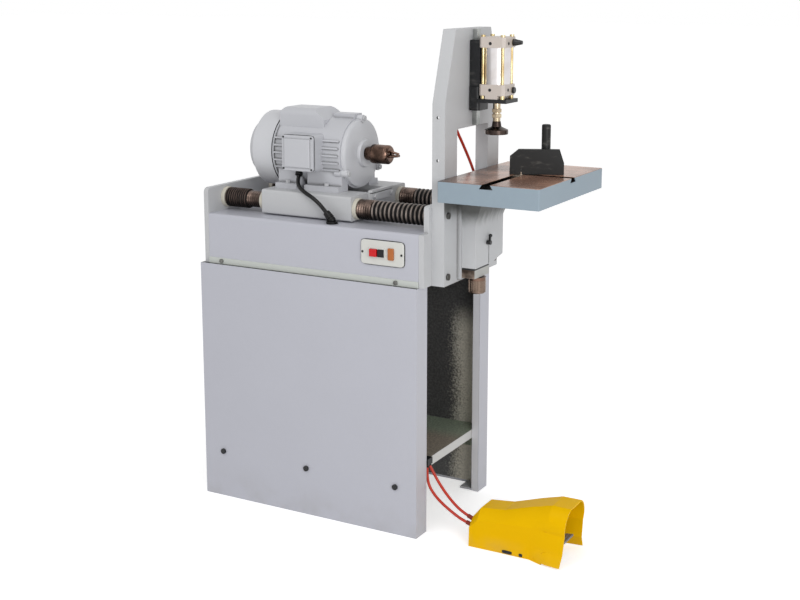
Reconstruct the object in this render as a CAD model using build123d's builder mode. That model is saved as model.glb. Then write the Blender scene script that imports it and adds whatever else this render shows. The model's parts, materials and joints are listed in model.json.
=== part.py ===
from build123d import *
import os
from math import cos, pi, radians, sin, tan

# Horizontal boring machine for wood: a motor carriage fed along two guide bars by an air
# cylinder, on a sheet-metal stand, with a portal column, a rising table and an air clamp.
# Millimetres. +X runs along the spindle to the table, +Y to the back, +Z up.
# The origin is on the floor, in the middle of the stand's footprint.

# Stand
STAND_LENGTH = 700
STAND_DEPTH = 440
STAND_HEIGHT = 690
SHEET = 3
RETURN_FLANGE = 58
LIP = 22
TOP_FLANGE = 40
FOOT_PLATE = (58, 52, 6)
ANCHOR_RADIUS = 6
SHELF_TOP = 188
SHELF_HALF_LENGTH = 327
SHELF_SKIRT = 70
SHELF_END_FLANGE = 25
SHELF_BOLT_Z = 136
SHELF_BOLT_SPACING = 285

# Bed
BED_LEFT = -342
BED_RIGHT = 363
END_PLATE = 15
BED_HALF_DEPTH = 208
BED_WALL = 8
DECK_TOP = 832
DECK_THICKNESS = 10
BASE_STRIP = 17
BASE_STRIP_PROUD = 3
LEFT_PLATE_TOP = 904
RIGHT_PLATE_TOP = 903
RIGHT_PLATE_STEP = 28

# Guide bars, bellows and carriage
BAR_RADIUS = 15
BAR_Y = 120
BAR_Z = 868
COLLAR = 12
COLLAR_RADIUS = 29
SLEEVE_RADIUS = 20
BELLOWS_CREST = 28
BELLOWS_ROOT = 22.5
BELLOWS_BORE = 20.5
LEFT_RIBS = 10
RIGHT_FINE_RIBS = 6
RIGHT_WIDE_RIBS = 12
RIGHT_FINE_LENGTH = 58
CARRIAGE_LEFT = -182
CARRIAGE_RIGHT = 110
CARRIAGE_BOTTOM = 836
CARRIAGE_TOP = 904
CARRIAGE_HALF_WIDTH = 152
SLEEVE_LEFT = -250
SLEEVE_RIGHT = 150
FEED_STROKE = 125
RUNNING_FIT = 0.05
SLIDE_GAP = 0.3

# Feed cylinder under the deck
FEED_Z = 760
FEED_BORE = 31.5
FEED_ROD = 10
FEED_CAP = 74
FEED_LUG_X = -25

# Motor and chuck
SPINDLE_Z = CARRIAGE_TOP + 100
FRAME_RADIUS = 100
FRAME_LEFT = -195
FRAME_RIGHT = 44
FIN_HEIGHT = 5
FIN_PITCH = 11.5
BELL_RADIUS = 96
LUG_ANGLES = (90, 210, 330)
LUG_RADIUS = 11
COVER_RADIUS = 107
COVER_LEFT = -272
COVER_RIGHT = -178
ROTOR_RADIUS = 61
CHUCK_RADIUS = 26.5
JAW_RADIUS = 3.4
JAW_LENGTH = 44
JAW_SLOPE = 12
JAW_TIP_X = 174
JAW_TIP_OFFSET = 3.4

# Column, knee and table
COLUMN_BACK = BED_RIGHT
COLUMN_DEPTH = 37
COLUMN_HALF_WIDTH = 163
COLUMN_TOP = 1356
COLUMN_TOP_HALF_WIDTH = 105
COLUMN_BEND = 1168
COLUMN_WALL = 9
WEB = 10
WINDOW_HALF_WIDTH = 93
WINDOW_BOTTOM = 940
WINDOW_TOP = 1098
WAY_HALF_WIDTH = 88
WAY_PROUD = 12
WAY_BOTTOM = 698
WAY_TOP = 918
KNEE_DEPTH = 41
KNEE_HALF_WIDTH = 86
KNEE_BOTTOM = 729
TABLE_LEFT = 402
TABLE_RIGHT = 684
TABLE_FRONT = -209
TABLE_BACK = 224
TABLE_BOTTOM = 922
TABLE_TOP = 977
SLOT_MOUTH = 22
SLOT_FLOOR = 38
SLOT_DEPTH = 12
LONG_SLOT_X = 538
CROSS_SLOT_Y = 12
SCREW_X = 436
SCREW_Y = -39
SCREW_RADIUS = 8
KNOB_RADIUS = 23.5

# Fence on the table
FENCE_PIVOT_Y = 8
FENCE_ANGLE = 25
FENCE_LEFT = -30
FENCE_RIGHT = 112
FENCE_TOP = 1044
POST_RADIUS = 12
POST_TOP = 1107

# Work clamp
CLAMP_X = 469
CAP_SIDE = 74
CAP_LOW = (1174, 1212)
CAP_HIGH = (1307, 1335)
BARREL_RADIUS = 35
PISTON_RADIUS = 31.4
CLAMP_ROD_RADIUS = 10
PAD_RADIUS = 31
PAD_BOTTOM = 1080

# Switch and pedal
SWITCH_X = 242
SWITCH_Z = 774
SWITCH_SIZE = (130, 66)
STOP_BUTTON = (218, 22, 20)
START_BUTTON = (240, 18, 20)
PEDAL_Y = -132
PEDAL_REAR = 492
PEDAL_FRONT = 760
MOUTH_LEAN = 4.5
WAIST_Z = 34
PEDAL_WALL = 4
PEDAL_BASE = 5
PEDAL_BASE_FRONT = (706, 74)
TREADLE_X = 618
TREADLE_Z = 26
TREADLE_TILT = 9

# Hoses and cable
HOSE_RADIUS = 4
CABLE_RADIUS = 5.5

# Worked-out planes and axes
STAND_HALF_LENGTH = STAND_LENGTH / 2
STAND_HALF_DEPTH = STAND_DEPTH / 2
DECK_LEFT = BED_LEFT + END_PLATE
DECK_RIGHT = BED_RIGHT - END_PLATE
WEB_FACE = COLUMN_BACK + COLUMN_DEPTH
WAY_FACE = WEB_FACE + WAY_PROUD
KNEE_FACE = WAY_FACE + KNEE_DEPTH
SPINDLE_PLANE = Plane((0, 0, SPINDLE_Z), x_dir=(1, 0, 0), z_dir=(0, -1, 0))
SPINDLE_AXIS = Axis((0, 0, SPINDLE_Z), (1, 0, 0))
UPWARD = (Align.CENTER, Align.CENTER, Align.MIN)

os.makedirs("parts", exist_ok=True)


def save(piece, name):
    """Label a finished piece and write its STEP file."""
    piece.part.label = name
    export_step(piece.part, f"parts/{name}.step")


def box(x, y, z, mode=Mode.ADD):
    """A block given by its (low, high) span on each axis."""
    spans = (x, y, z)
    middle = [(low + high) / 2 for low, high in spans]
    with Locations(tuple(middle)):
        return Box(*[high - low for low, high in spans], mode=mode)


def rod_x(span, radius, y, z, mode=Mode.ADD):
    """A round bar along X between the two ends of span."""
    with Locations(Location((span[0], y, z), (0, 90, 0))):
        return Cylinder(radius, span[1] - span[0], align=UPWARD, mode=mode)


def rod_y(x, span, radius, z, mode=Mode.ADD):
    """A round bar along Y between the two ends of span."""
    with Locations(Location((x, span[0], z), (-90, 0, 0))):
        return Cylinder(radius, span[1] - span[0], align=UPWARD, mode=mode)


def rod_z(x, y, span, radius, mode=Mode.ADD):
    """A round bar along Z between the two ends of span."""
    with Locations((x, y, span[0])):
        return Cylinder(radius, span[1] - span[0], align=UPWARD, mode=mode)


def turned(points, mode=Mode.ADD):
    """Revolve a half profile of (x, radius) points about the spindle axis."""
    with BuildSketch(SPINDLE_PLANE) as profile:
        with BuildLine():
            Polyline(*points, close=True)
        make_face()
    return revolve(profile.sketch, axis=SPINDLE_AXIS, mode=mode)


def polygon(plane, points):
    """A face on the plane with straight sides through the points."""
    with BuildSketch(plane) as outline:
        with BuildLine():
            Polyline(*points, close=True)
        make_face()
    return outline.sketch


def around_spindle(angle, radius):
    """The (y, z) place at an angle from +Y and a radius about the spindle axis."""
    return radius * cos(radians(angle)), SPINDLE_Z + radius * sin(radians(angle))


def tube(route, radius, name):
    """A round tube along straight runs joined by the largest arcs that they allow."""
    points = [Vector(*point) for point in route]
    radii = []
    for before, corner, after in zip(points, points[1:], points[2:]):
        inward, outward = corner - before, after - corner
        shorter = min(inward.length, outward.length)
        turn = radians(inward.get_angle(outward))
        radii.append(0.45 * shorter / tan(turn / 2))
    with BuildPart() as piece:
        with BuildLine() as path:
            FilletPolyline(*route, radius=radii)
        start = path.line @ 0
        with BuildSketch(Plane(start, z_dir=path.line % 0)):
            Circle(radius)
        sweep()
    save(piece, name)
    length = path.wire().length
    ideal = pi * radius**2 * length
    print(f"{name}: length {length:.1f}, volume ratio {piece.part.volume / ideal:.4f}")
    print(f"  radii {[round(value) for value in radii]}")


# Stand: two folded channels, a tray shelf and corner foot plates
for panel_name, side in (("stand_front_panel", -1), ("stand_rear_panel", 1)):
    outer_y = side * STAND_HALF_DEPTH
    inner_y = side * (STAND_HALF_DEPTH - SHEET)
    lip_y = side * (STAND_HALF_DEPTH - RETURN_FLANGE)
    flange_y = lip_y + side * SHEET
    inner_x = STAND_HALF_LENGTH - SHEET
    lip_x = STAND_HALF_LENGTH - LIP
    foot_x = inner_x - FOOT_PLATE[0] / 2
    foot_y = side * (STAND_HALF_DEPTH - SHEET - FOOT_PLATE[1] / 2)
    with BuildPart() as panel:
        with BuildSketch():
            with BuildLine():
                Polyline(
                    (0, outer_y),
                    (STAND_HALF_LENGTH, outer_y),
                    (STAND_HALF_LENGTH, lip_y),
                    (lip_x, lip_y),
                    (lip_x, flange_y),
                    (inner_x, flange_y),
                    (inner_x, inner_y),
                    (0, inner_y),
                )
                mirror(about=Plane.YZ)
            make_face()
        extrude(amount=STAND_HEIGHT)
        with BuildSketch(Plane.XY.offset(STAND_HEIGHT - SHEET)):
            with Locations((0, side * (STAND_HALF_DEPTH - SHEET - TOP_FLANGE / 2))):
                Rectangle(2 * inner_x, TOP_FLANGE)
        extrude(amount=SHEET)
        with BuildSketch():
            with Locations((-foot_x, foot_y), (foot_x, foot_y)):
                Rectangle(FOOT_PLATE[0], FOOT_PLATE[1])
        extrude(amount=FOOT_PLATE[2])
        with Locations((-foot_x, foot_y, FOOT_PLATE[2]), (foot_x, foot_y, FOOT_PLATE[2])):
            Hole(ANCHOR_RADIUS)
        for step in (-1, 0, 1):
            hole_span = sorted((inner_y, outer_y))
            rod_y(step * SHELF_BOLT_SPACING, hole_span, 5.5, SHELF_BOLT_Z, Mode.SUBTRACT)
    save(panel, panel_name)

with BuildPart() as shelf:
    shelf_half_depth = STAND_HALF_DEPTH - SHEET
    box(
        (-SHELF_HALF_LENGTH, SHELF_HALF_LENGTH),
        (-shelf_half_depth, shelf_half_depth),
        (SHELF_TOP - SHELF_SKIRT, SHELF_TOP),
    )
    box(
        (SHEET - SHELF_HALF_LENGTH, SHELF_HALF_LENGTH - SHEET),
        (SHEET - shelf_half_depth, shelf_half_depth - SHEET),
        (SHELF_TOP - SHELF_SKIRT, SHELF_TOP - SHEET),
        Mode.SUBTRACT,
    )
    box(
        (-SHELF_HALF_LENGTH, SHELF_HALF_LENGTH),
        (SHEET - shelf_half_depth, shelf_half_depth - SHEET),
        (SHELF_TOP - SHELF_SKIRT, SHELF_TOP - SHELF_END_FLANGE),
        Mode.SUBTRACT,
    )
    for step in (-1, 0, 1):
        hole_span = (-shelf_half_depth, shelf_half_depth)
        rod_y(step * SHELF_BOLT_SPACING, hole_span, 5.5, SHELF_BOLT_Z, Mode.SUBTRACT)
save(shelf, "stand_shelf")

# Bed: a folded box with a base strip, a slotted deck and two end plates
deck_y = BED_HALF_DEPTH - BED_WALL
deck_under = DECK_TOP - DECK_THICKNESS
GROMMET = (66, -178)
with BuildPart() as bed_box:
    with BuildSketch(Plane.YZ.offset(DECK_LEFT)):
        with BuildLine():
            Polyline(
                (0, deck_under),
                (deck_y, deck_under),
                (deck_y, STAND_HEIGHT),
                (BED_HALF_DEPTH + BASE_STRIP_PROUD, STAND_HEIGHT),
                (BED_HALF_DEPTH + BASE_STRIP_PROUD, STAND_HEIGHT + BASE_STRIP),
                (BED_HALF_DEPTH, STAND_HEIGHT + BASE_STRIP),
                (BED_HALF_DEPTH, DECK_TOP - BED_WALL),
            )
            RadiusArc((BED_HALF_DEPTH, DECK_TOP - BED_WALL), (deck_y, DECK_TOP), -BED_WALL)
            Line((deck_y, DECK_TOP), (0, DECK_TOP))
            mirror(about=Plane.YZ)
        make_face()
    extrude(amount=DECK_RIGHT - DECK_LEFT)
    lug_slot = (FEED_LUG_X - 20, FEED_LUG_X + FEED_STROKE + 20)
    box(lug_slot, (-15, 15), (deck_under, DECK_TOP), Mode.SUBTRACT)
    rod_z(GROMMET[0], GROMMET[1], (deck_under, DECK_TOP), 8, Mode.SUBTRACT)
    switch_hole = (SWITCH_X - 50, SWITCH_X + 52)
    box(switch_hole, (-BED_HALF_DEPTH, -deck_y), (SWITCH_Z - 26, SWITCH_Z + 26), Mode.SUBTRACT)
save(bed_box, "bed_box")

with BuildPart() as left_end_plate:
    box((BED_LEFT, DECK_LEFT), (-BED_HALF_DEPTH, BED_HALF_DEPTH), (STAND_HEIGHT, LEFT_PLATE_TOP))
    fillet(left_end_plate.edges().filter_by(Axis.X).group_by(Axis.Z)[-1], 14)
    for bar_y in (-BAR_Y, BAR_Y):
        rod_x((BED_LEFT, DECK_LEFT), BAR_RADIUS, bar_y, BAR_Z, Mode.SUBTRACT)
save(left_end_plate, "left_end_plate")

with BuildPart() as right_end_plate:
    shoulder_y = BED_HALF_DEPTH - RIGHT_PLATE_STEP
    box((DECK_RIGHT, BED_RIGHT), (-BED_HALF_DEPTH, BED_HALF_DEPTH), (STAND_HEIGHT, DECK_TOP))
    box((DECK_RIGHT, BED_RIGHT), (-shoulder_y, shoulder_y), (DECK_TOP, RIGHT_PLATE_TOP))
    fillet(right_end_plate.edges().filter_by(Axis.X).group_by(Axis.Z)[-1], 10)
    for bar_y in (-BAR_Y, BAR_Y):
        rod_x((DECK_RIGHT, BED_RIGHT), BAR_RADIUS, bar_y, BAR_Z, Mode.SUBTRACT)
save(right_end_plate, "right_end_plate")

with BuildPart() as guide_bars:
    for bar_y in (-BAR_Y, BAR_Y):
        rod_x((BED_LEFT, BED_RIGHT), BAR_RADIUS, bar_y, BAR_Z)
save(guide_bars, "guide_bars")


def collar_rings(spans, bore):
    """Clamp rings round both bars, one pair for each span along X."""
    for span in spans:
        for bar_y in (-BAR_Y, BAR_Y):
            rod_x(span, COLLAR_RADIUS, bar_y, BAR_Z)
            rod_x(span, bore, bar_y, BAR_Z, Mode.SUBTRACT)


with BuildPart() as plate_collars:
    fixed_spans = ((DECK_LEFT, DECK_LEFT + COLLAR), (DECK_RIGHT - COLLAR, DECK_RIGHT))
    collar_rings(fixed_spans, BAR_RADIUS)
save(plate_collars, "plate_collars")

with BuildPart() as carriage_collars:
    moving_spans = (
        (CARRIAGE_LEFT - COLLAR, CARRIAGE_LEFT),
        (CARRIAGE_RIGHT, CARRIAGE_RIGHT + COLLAR),
    )
    collar_rings(moving_spans, SLEEVE_RADIUS)
save(carriage_collars, "carriage_collars")

# Bellows: each rib is four circles, root, two on the crest and root again
left_start = DECK_LEFT + COLLAR
left_end = SLEEVE_LEFT + 8
right_start = CARRIAGE_RIGHT + COLLAR
right_end = DECK_RIGHT - COLLAR
left_pitch = (left_end - left_start) / LEFT_RIBS
fine_pitch = RIGHT_FINE_LENGTH / RIGHT_FINE_RIBS
wide_pitch = (right_end - right_start - RIGHT_FINE_LENGTH) / RIGHT_WIDE_RIBS
RIB_STATIONS = ((0, BELLOWS_ROOT), (0.3, BELLOWS_CREST), (0.6, BELLOWS_CREST), (0.9, BELLOWS_ROOT))
bellows_pitches = {
    "left_bellows": (left_start, [left_pitch] * LEFT_RIBS),
    "right_bellows": (
        right_start,
        [fine_pitch] * RIGHT_FINE_RIBS + [wide_pitch] * RIGHT_WIDE_RIBS,
    ),
}
for bellows_name, (rib_x, pitches) in bellows_pitches.items():
    with BuildPart() as bellows:
        first_x = rib_x
        for pitch in pitches:
            for share, rib_radius in RIB_STATIONS:
                with BuildSketch(Plane.YZ.offset(rib_x + share * pitch)):
                    with Locations((BAR_Y, BAR_Z)):
                        Circle(rib_radius)
            rib_x += pitch
        with BuildSketch(Plane.YZ.offset(rib_x)):
            with Locations((BAR_Y, BAR_Z)):
                Circle(BELLOWS_ROOT)
        loft(ruled=True)
        rod_x((first_x, rib_x), BELLOWS_BORE, BAR_Y, BAR_Z, Mode.SUBTRACT)
        mirror(about=Plane.XZ)
    save(bellows, bellows_name)

# Carriage: a bridge casting over both bars with a lug down through the deck slot
with BuildPart() as carriage:
    with BuildSketch(Plane.YZ.offset(CARRIAGE_LEFT)):
        with BuildLine():
            Polyline(
                (0, CARRIAGE_BOTTOM + 10),
                (88, CARRIAGE_BOTTOM + 10),
                (88, CARRIAGE_BOTTOM),
                (CARRIAGE_HALF_WIDTH, CARRIAGE_BOTTOM),
                (CARRIAGE_HALF_WIDTH, CARRIAGE_TOP),
                (56, CARRIAGE_TOP),
                (56, CARRIAGE_TOP - 18),
                (0, CARRIAGE_TOP - 18),
            )
            mirror(about=Plane.YZ)
        make_face()
    extrude(amount=CARRIAGE_RIGHT - CARRIAGE_LEFT)
    outer_edges = carriage.edges().filter_by(Axis.X).sort_by(Axis.Y)
    fillet([*outer_edges[:2], *outer_edges[-2:]], 6)
    for bar_y in (-BAR_Y, BAR_Y):
        rod_x((CARRIAGE_LEFT, CARRIAGE_RIGHT), SLEEVE_RADIUS, bar_y, BAR_Z, Mode.SUBTRACT)
    box((FEED_LUG_X - 12, FEED_LUG_X + 12), (-12, 12), (FEED_Z - 20, CARRIAGE_BOTTOM + 12))
    rod_x((FEED_LUG_X - 12, FEED_LUG_X + 12), 8, 0, FEED_Z, Mode.SUBTRACT)
save(carriage, "carriage")

with BuildPart() as guide_bushings:
    for bar_y in (-BAR_Y, BAR_Y):
        rod_x((SLEEVE_LEFT, SLEEVE_RIGHT), SLEEVE_RADIUS, bar_y, BAR_Z)
        rod_x((SLEEVE_LEFT, SLEEVE_RIGHT), BAR_RADIUS + RUNNING_FIT, bar_y, BAR_Z, Mode.SUBTRACT)
save(guide_bushings, "guide_bushings")

END_STOP_RIGHT = CARRIAGE_RIGHT + 13
with BuildPart() as carriage_end_plate:
    box((CARRIAGE_RIGHT, END_STOP_RIGHT), (-61, 61), (880, 910))
    chamfer(carriage_end_plate.edges().filter_by(Axis.X), 4)
    box((CARRIAGE_RIGHT + 6, END_STOP_RIGHT), (-61, 61), (901, 903), Mode.SUBTRACT)
save(carriage_end_plate, "carriage_end_plate")

# Feed air cylinder under the deck, and the rod that pushes the carriage lug
feed_caps = ((DECK_LEFT, DECK_LEFT + 30), (-95, -65))
with BuildPart() as feed_cylinder:
    rod_x((feed_caps[0][1], feed_caps[1][0]), FEED_BORE + 3.5, 0, FEED_Z)
    for cap_span in feed_caps:
        cap_half = FEED_CAP / 2
        box(cap_span, (-cap_half, cap_half), (FEED_Z - cap_half, FEED_Z + cap_half))
    tie_span = (feed_caps[0][0], feed_caps[1][1] + 6)
    with Locations(Location((tie_span[0], 0, FEED_Z), (0, 90, 0))):
        with GridLocations(58, 58, 2, 2):
            Cylinder(4, tie_span[1] - tie_span[0], align=UPWARD)
    rod_x((feed_caps[0][1], feed_caps[1][0]), FEED_BORE, 0, FEED_Z, Mode.SUBTRACT)
    rod_x(feed_caps[1], FEED_ROD + RUNNING_FIT, 0, FEED_Z, Mode.SUBTRACT)
save(feed_cylinder, "feed_cylinder")

piston_left = feed_caps[0][1] + 5
lug_span = (FEED_LUG_X - 12, FEED_LUG_X + 12)
with BuildPart() as feed_rod:
    rod_x((piston_left, piston_left + 24), FEED_BORE - RUNNING_FIT, 0, FEED_Z)
    rod_x((piston_left + 24, lug_span[0]), FEED_ROD, 0, FEED_Z)
    rod_x((lug_span[0], lug_span[1] + 14), 8, 0, FEED_Z)
    with BuildSketch(Plane.YZ.offset(lug_span[1])):
        with Locations((0, FEED_Z)):
            RegularPolygon(14, 6)
    extrude(amount=12)
save(feed_rod, "feed_rod")

# Motor: finned frame with feet, end bell, fan cover, capacitor cover and terminal box
FIN_ANGLES = [side + step * FIN_PITCH for side in (0, 180) for step in (-2, -1, 0, 1, 2)]
FEET = ((-165, -95), (-68, FRAME_RIGHT))
with BuildPart() as motor_frame:
    rod_x((FRAME_LEFT, FRAME_RIGHT), FRAME_RADIUS, 0, SPINDLE_Z)
    rod_x((FRAME_LEFT + 2, COVER_RIGHT + 6), COVER_RADIUS - 3, 0, SPINDLE_Z)
    for fin_angle in FIN_ANGLES:
        with BuildSketch(Plane.YZ.offset(COVER_RIGHT + 6)):
            with Locations(Location((0, SPINDLE_Z, 0), fin_angle)):
                with Locations((FRAME_RADIUS + FIN_HEIGHT / 2 - 2, 0)):
                    Rectangle(FIN_HEIGHT + 4, 5)
        extrude(amount=FRAME_RIGHT - COVER_RIGHT - 12)
    for lug_angle in LUG_ANGLES:
        rod_x((FRAME_RIGHT - 22, FRAME_RIGHT), LUG_RADIUS, *around_spindle(lug_angle, 98))
    box((-24, FRAME_RIGHT), (-20, 20), (SPINDLE_Z + 90, SPINDLE_Z + 110))
    for foot_span in FEET:
        for side in (-1, 1):
            foot_profile = polygon(
                Plane.YZ.offset(foot_span[0]),
                (
                    (side * 58, CARRIAGE_TOP),
                    (side * 108, CARRIAGE_TOP),
                    (side * 108, CARRIAGE_TOP + 15),
                    (side * 91, CARRIAGE_TOP + 15),
                    (side * 90, SPINDLE_Z - 44),
                    (side * 58, SPINDLE_Z - 44),
                ),
            )
            extrude(foot_profile, amount=foot_span[1] - foot_span[0])
    rod_x((COVER_RIGHT, FRAME_RIGHT), ROTOR_RADIUS + 1, 0, SPINDLE_Z, Mode.SUBTRACT)
    rod_x((FRAME_RIGHT - 6, FRAME_RIGHT), 88, 0, SPINDLE_Z, Mode.SUBTRACT)
    rod_x((FRAME_LEFT + 2, COVER_RIGHT), 26, 0, SPINDLE_Z, Mode.SUBTRACT)
    rod_x((FRAME_LEFT, FRAME_LEFT + 2), 14, 0, SPINDLE_Z, Mode.SUBTRACT)
save(motor_frame, "motor_frame")

BELL_FACE = FRAME_RIGHT + 18
with BuildPart() as drive_end_bell:
    turned(
        (
            (FRAME_RIGHT - 6, 80),
            (FRAME_RIGHT - 6, 88),
            (FRAME_RIGHT, 88),
            (FRAME_RIGHT, BELL_RADIUS),
            (FRAME_RIGHT + 11, BELL_RADIUS),
            (FRAME_RIGHT + 15, 90),
            (BELL_FACE, 62),
            (BELL_FACE + 2, 40),
            (BELL_FACE + 10, 37),
            (BELL_FACE + 10, 17),
            (BELL_FACE, 17),
            (BELL_FACE, 31),
            (FRAME_RIGHT + 2, 31),
            (FRAME_RIGHT + 2, 42),
            (FRAME_RIGHT + 8, 50),
            (FRAME_RIGHT + 6, 80),
        )
    )
    for lug_angle in LUG_ANGLES:
        lug_place = around_spindle(lug_angle, 96)
        rod_x((FRAME_RIGHT, BELL_FACE), LUG_RADIUS, *lug_place)
save(drive_end_bell, "drive_end_bell")

COVER_WALL = 3
COVER_BEND = 30
with BuildPart() as fan_cover:
    with BuildSketch(SPINDLE_PLANE):
        with BuildLine():
            bend_x = COVER_LEFT + COVER_BEND
            bend_r = COVER_RADIUS - COVER_BEND
            inner_r = COVER_RADIUS - COVER_WALL
            inner_x = COVER_LEFT + COVER_WALL
            Polyline(
                (bend_x, inner_r),
                (COVER_RIGHT, inner_r),
                (COVER_RIGHT, COVER_RADIUS),
                (bend_x, COVER_RADIUS),
            )
            RadiusArc((bend_x, COVER_RADIUS), (COVER_LEFT, bend_r), COVER_BEND)
            Polyline((COVER_LEFT, bend_r), (COVER_LEFT, 0), (inner_x, 0), (inner_x, bend_r))
            RadiusArc((inner_x, bend_r), (bend_x, inner_r), -(COVER_BEND - COVER_WALL))
        make_face()
    revolve(axis=SPINDLE_AXIS)
    with BuildSketch(Plane.YZ.offset(COVER_LEFT)):
        with Locations((0, SPINDLE_Z)):
            with PolarLocations(56, 18):
                SlotOverall(34, 6)
            with PolarLocations(24, 9):
                SlotOverall(18, 6)
    extrude(amount=COVER_WALL, mode=Mode.SUBTRACT)
save(fan_cover, "fan_cover")

with BuildPart() as capacitor_cover:
    with BuildSketch(Plane.XZ.offset(-45)):
        with BuildLine():
            Polyline(
                (COVER_RIGHT + 6, SPINDLE_Z + 50),
                (COVER_RIGHT + 6, SPINDLE_Z + 112),
                (COVER_RIGHT + 16, SPINDLE_Z + 124),
                (-61, SPINDLE_Z + 124),
                (-26, SPINDLE_Z + 94),
                (-26, SPINDLE_Z + 50),
                close=True,
            )
        make_face()
    extrude(amount=115)
    top_edges = capacitor_cover.faces().sort_by(Axis.Z)[-1].edges().filter_by(Axis.X)
    fillet(top_edges, 22)
    rod_x((-200, 0), FRAME_RADIUS, 0, SPINDLE_Z, Mode.SUBTRACT)
save(capacitor_cover, "capacitor_cover")

TERMINAL_X = (-120, -14)
TERMINAL_Z = (960, 1062)
TERMINAL_Y = -134
GLAND = (-74, -121)
GLAND_LENGTH = 13
GLAND_LEAN = Vector(0.15, -0.55, -0.82).normalized()
gland_end = Vector(*GLAND, TERMINAL_Z[0]) + GLAND_LEAN * GLAND_LENGTH
gland_plane = Plane(gland_end, z_dir=GLAND_LEAN)
with BuildPart() as terminal_box:
    box(TERMINAL_X, (TERMINAL_Y, -70), TERMINAL_Z)
    fillet(terminal_box.edges().filter_by(Axis.Y), 10)
    cavity_x = (TERMINAL_X[0] + 8, TERMINAL_X[1] - 8)
    cavity_z = (TERMINAL_Z[0] + 8, TERMINAL_Z[1] - 8)
    box(cavity_x, (TERMINAL_Y, TERMINAL_Y + 22), cavity_z, Mode.SUBTRACT)
    rod_x(TERMINAL_X, FRAME_RADIUS, 0, SPINDLE_Z, Mode.SUBTRACT)
    add(motor_frame.part, mode=Mode.SUBTRACT)
    add(capacitor_cover.part, mode=Mode.SUBTRACT)
    with BuildSketch(gland_plane):
        Circle(9)
    extrude(amount=-GLAND_LENGTH)
    rod_z(*GLAND, (TERMINAL_Z[0] - 4, TERMINAL_Z[0]), 11)
save(terminal_box, "terminal_box")

with BuildPart() as terminal_cover:
    cover_x = (TERMINAL_X[0] + 2, TERMINAL_X[1] - 2)
    cover_z = (TERMINAL_Z[0] + 2, TERMINAL_Z[1] - 2)
    box(cover_x, (TERMINAL_Y - 8, TERMINAL_Y), cover_z)
    fillet(terminal_cover.edges().filter_by(Axis.Y), 9)
    raised_x = (cover_x[0] + 9, cover_x[1] - 9)
    raised_z = (cover_z[0] + 9, cover_z[1] - 9)
    box(raised_x, (TERMINAL_Y - 13, TERMINAL_Y - 8), raised_z)
    fillet(terminal_cover.faces().sort_by(Axis.Y)[0].edges(), 4)
save(terminal_cover, "terminal_cover")

with BuildPart() as motor_bolts:
    for foot_x in (-128, 0):
        for foot_y in (-99, 99):
            with BuildSketch(Plane.XY.offset(CARRIAGE_TOP + 15)):
                with Locations((foot_x, foot_y)):
                    RegularPolygon(7, 6)
            extrude(amount=8)
    for lug_angle in LUG_ANGLES:
        rod_x((BELL_FACE, BELL_FACE + 6), 7, *around_spindle(lug_angle, 98))
    for bolt_y in (-46, 46):
        rod_x((END_STOP_RIGHT, END_STOP_RIGHT + 7), 6.5, bolt_y, 892)
save(motor_bolts, "motor_bolts")

FRONT_BEARING = (FRAME_RIGHT + 2, BELL_FACE)
REAR_BEARING = (FRAME_LEFT + 2, COVER_RIGHT)
FRONT_JOURNAL = 15
REAR_JOURNAL = 12.5
with BuildPart() as motor_bearings:
    for span, ring, journal in ((FRONT_BEARING, 31, FRONT_JOURNAL), (REAR_BEARING, 26, REAR_JOURNAL)):
        rod_x(span, ring, 0, SPINDLE_Z)
        rod_x(span, journal + RUNNING_FIT, 0, SPINDLE_Z, Mode.SUBTRACT)
save(motor_bearings, "motor_bearings")

# Spindle: rotor and shaft, cooling fan, chuck body, sleeve and three jaws
SHAFT_NOSE = 12
CHUCK_REAR = BELL_FACE + 14
with BuildPart() as rotor_shaft:
    turned(
        (
            (-250, 0),
            (-250, REAR_JOURNAL),
            (-160, REAR_JOURNAL),
            (-160, 18),
            (-130, 18),
            (-130, ROTOR_RADIUS),
            (0, ROTOR_RADIUS),
            (0, 18),
            (40, 18),
            (40, FRONT_JOURNAL),
            (BELL_FACE + 4, FRONT_JOURNAL),
            (BELL_FACE + 4, SHAFT_NOSE),
            (CHUCK_REAR + 28, SHAFT_NOSE),
            (CHUCK_REAR + 28, 0),
        )
    )
save(rotor_shaft, "rotor_shaft")

with BuildPart() as cooling_fan:
    rod_x((-246, -212), 20, 0, SPINDLE_Z)
    for blade_angle in range(0, 360, 60):
        with BuildSketch(Plane.YZ.offset(-243)):
            with Locations(Location((0, SPINDLE_Z, 0), blade_angle)):
                with Locations((54, 0)):
                    Rectangle(76, 4)
        extrude(amount=28)
    rod_x((-246, -212), REAR_JOURNAL, 0, SPINDLE_Z, Mode.SUBTRACT)
save(cooling_fan, "cooling_fan")

CHUCK_NOSE = CHUCK_REAR + 72
JAW_ANGLES = (90, 210, 330)


def jaw_plane(angle):
    """The plane across a jaw at its tip, with its normal along the jaw to the rear."""
    place_y, place_z = around_spindle(angle, JAW_TIP_OFFSET)
    lean = sin(radians(JAW_SLOPE))
    backward = (-cos(radians(JAW_SLOPE)), lean * cos(radians(angle)), lean * sin(radians(angle)))
    return Plane((JAW_TIP_X, place_y, place_z), z_dir=backward)


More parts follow.
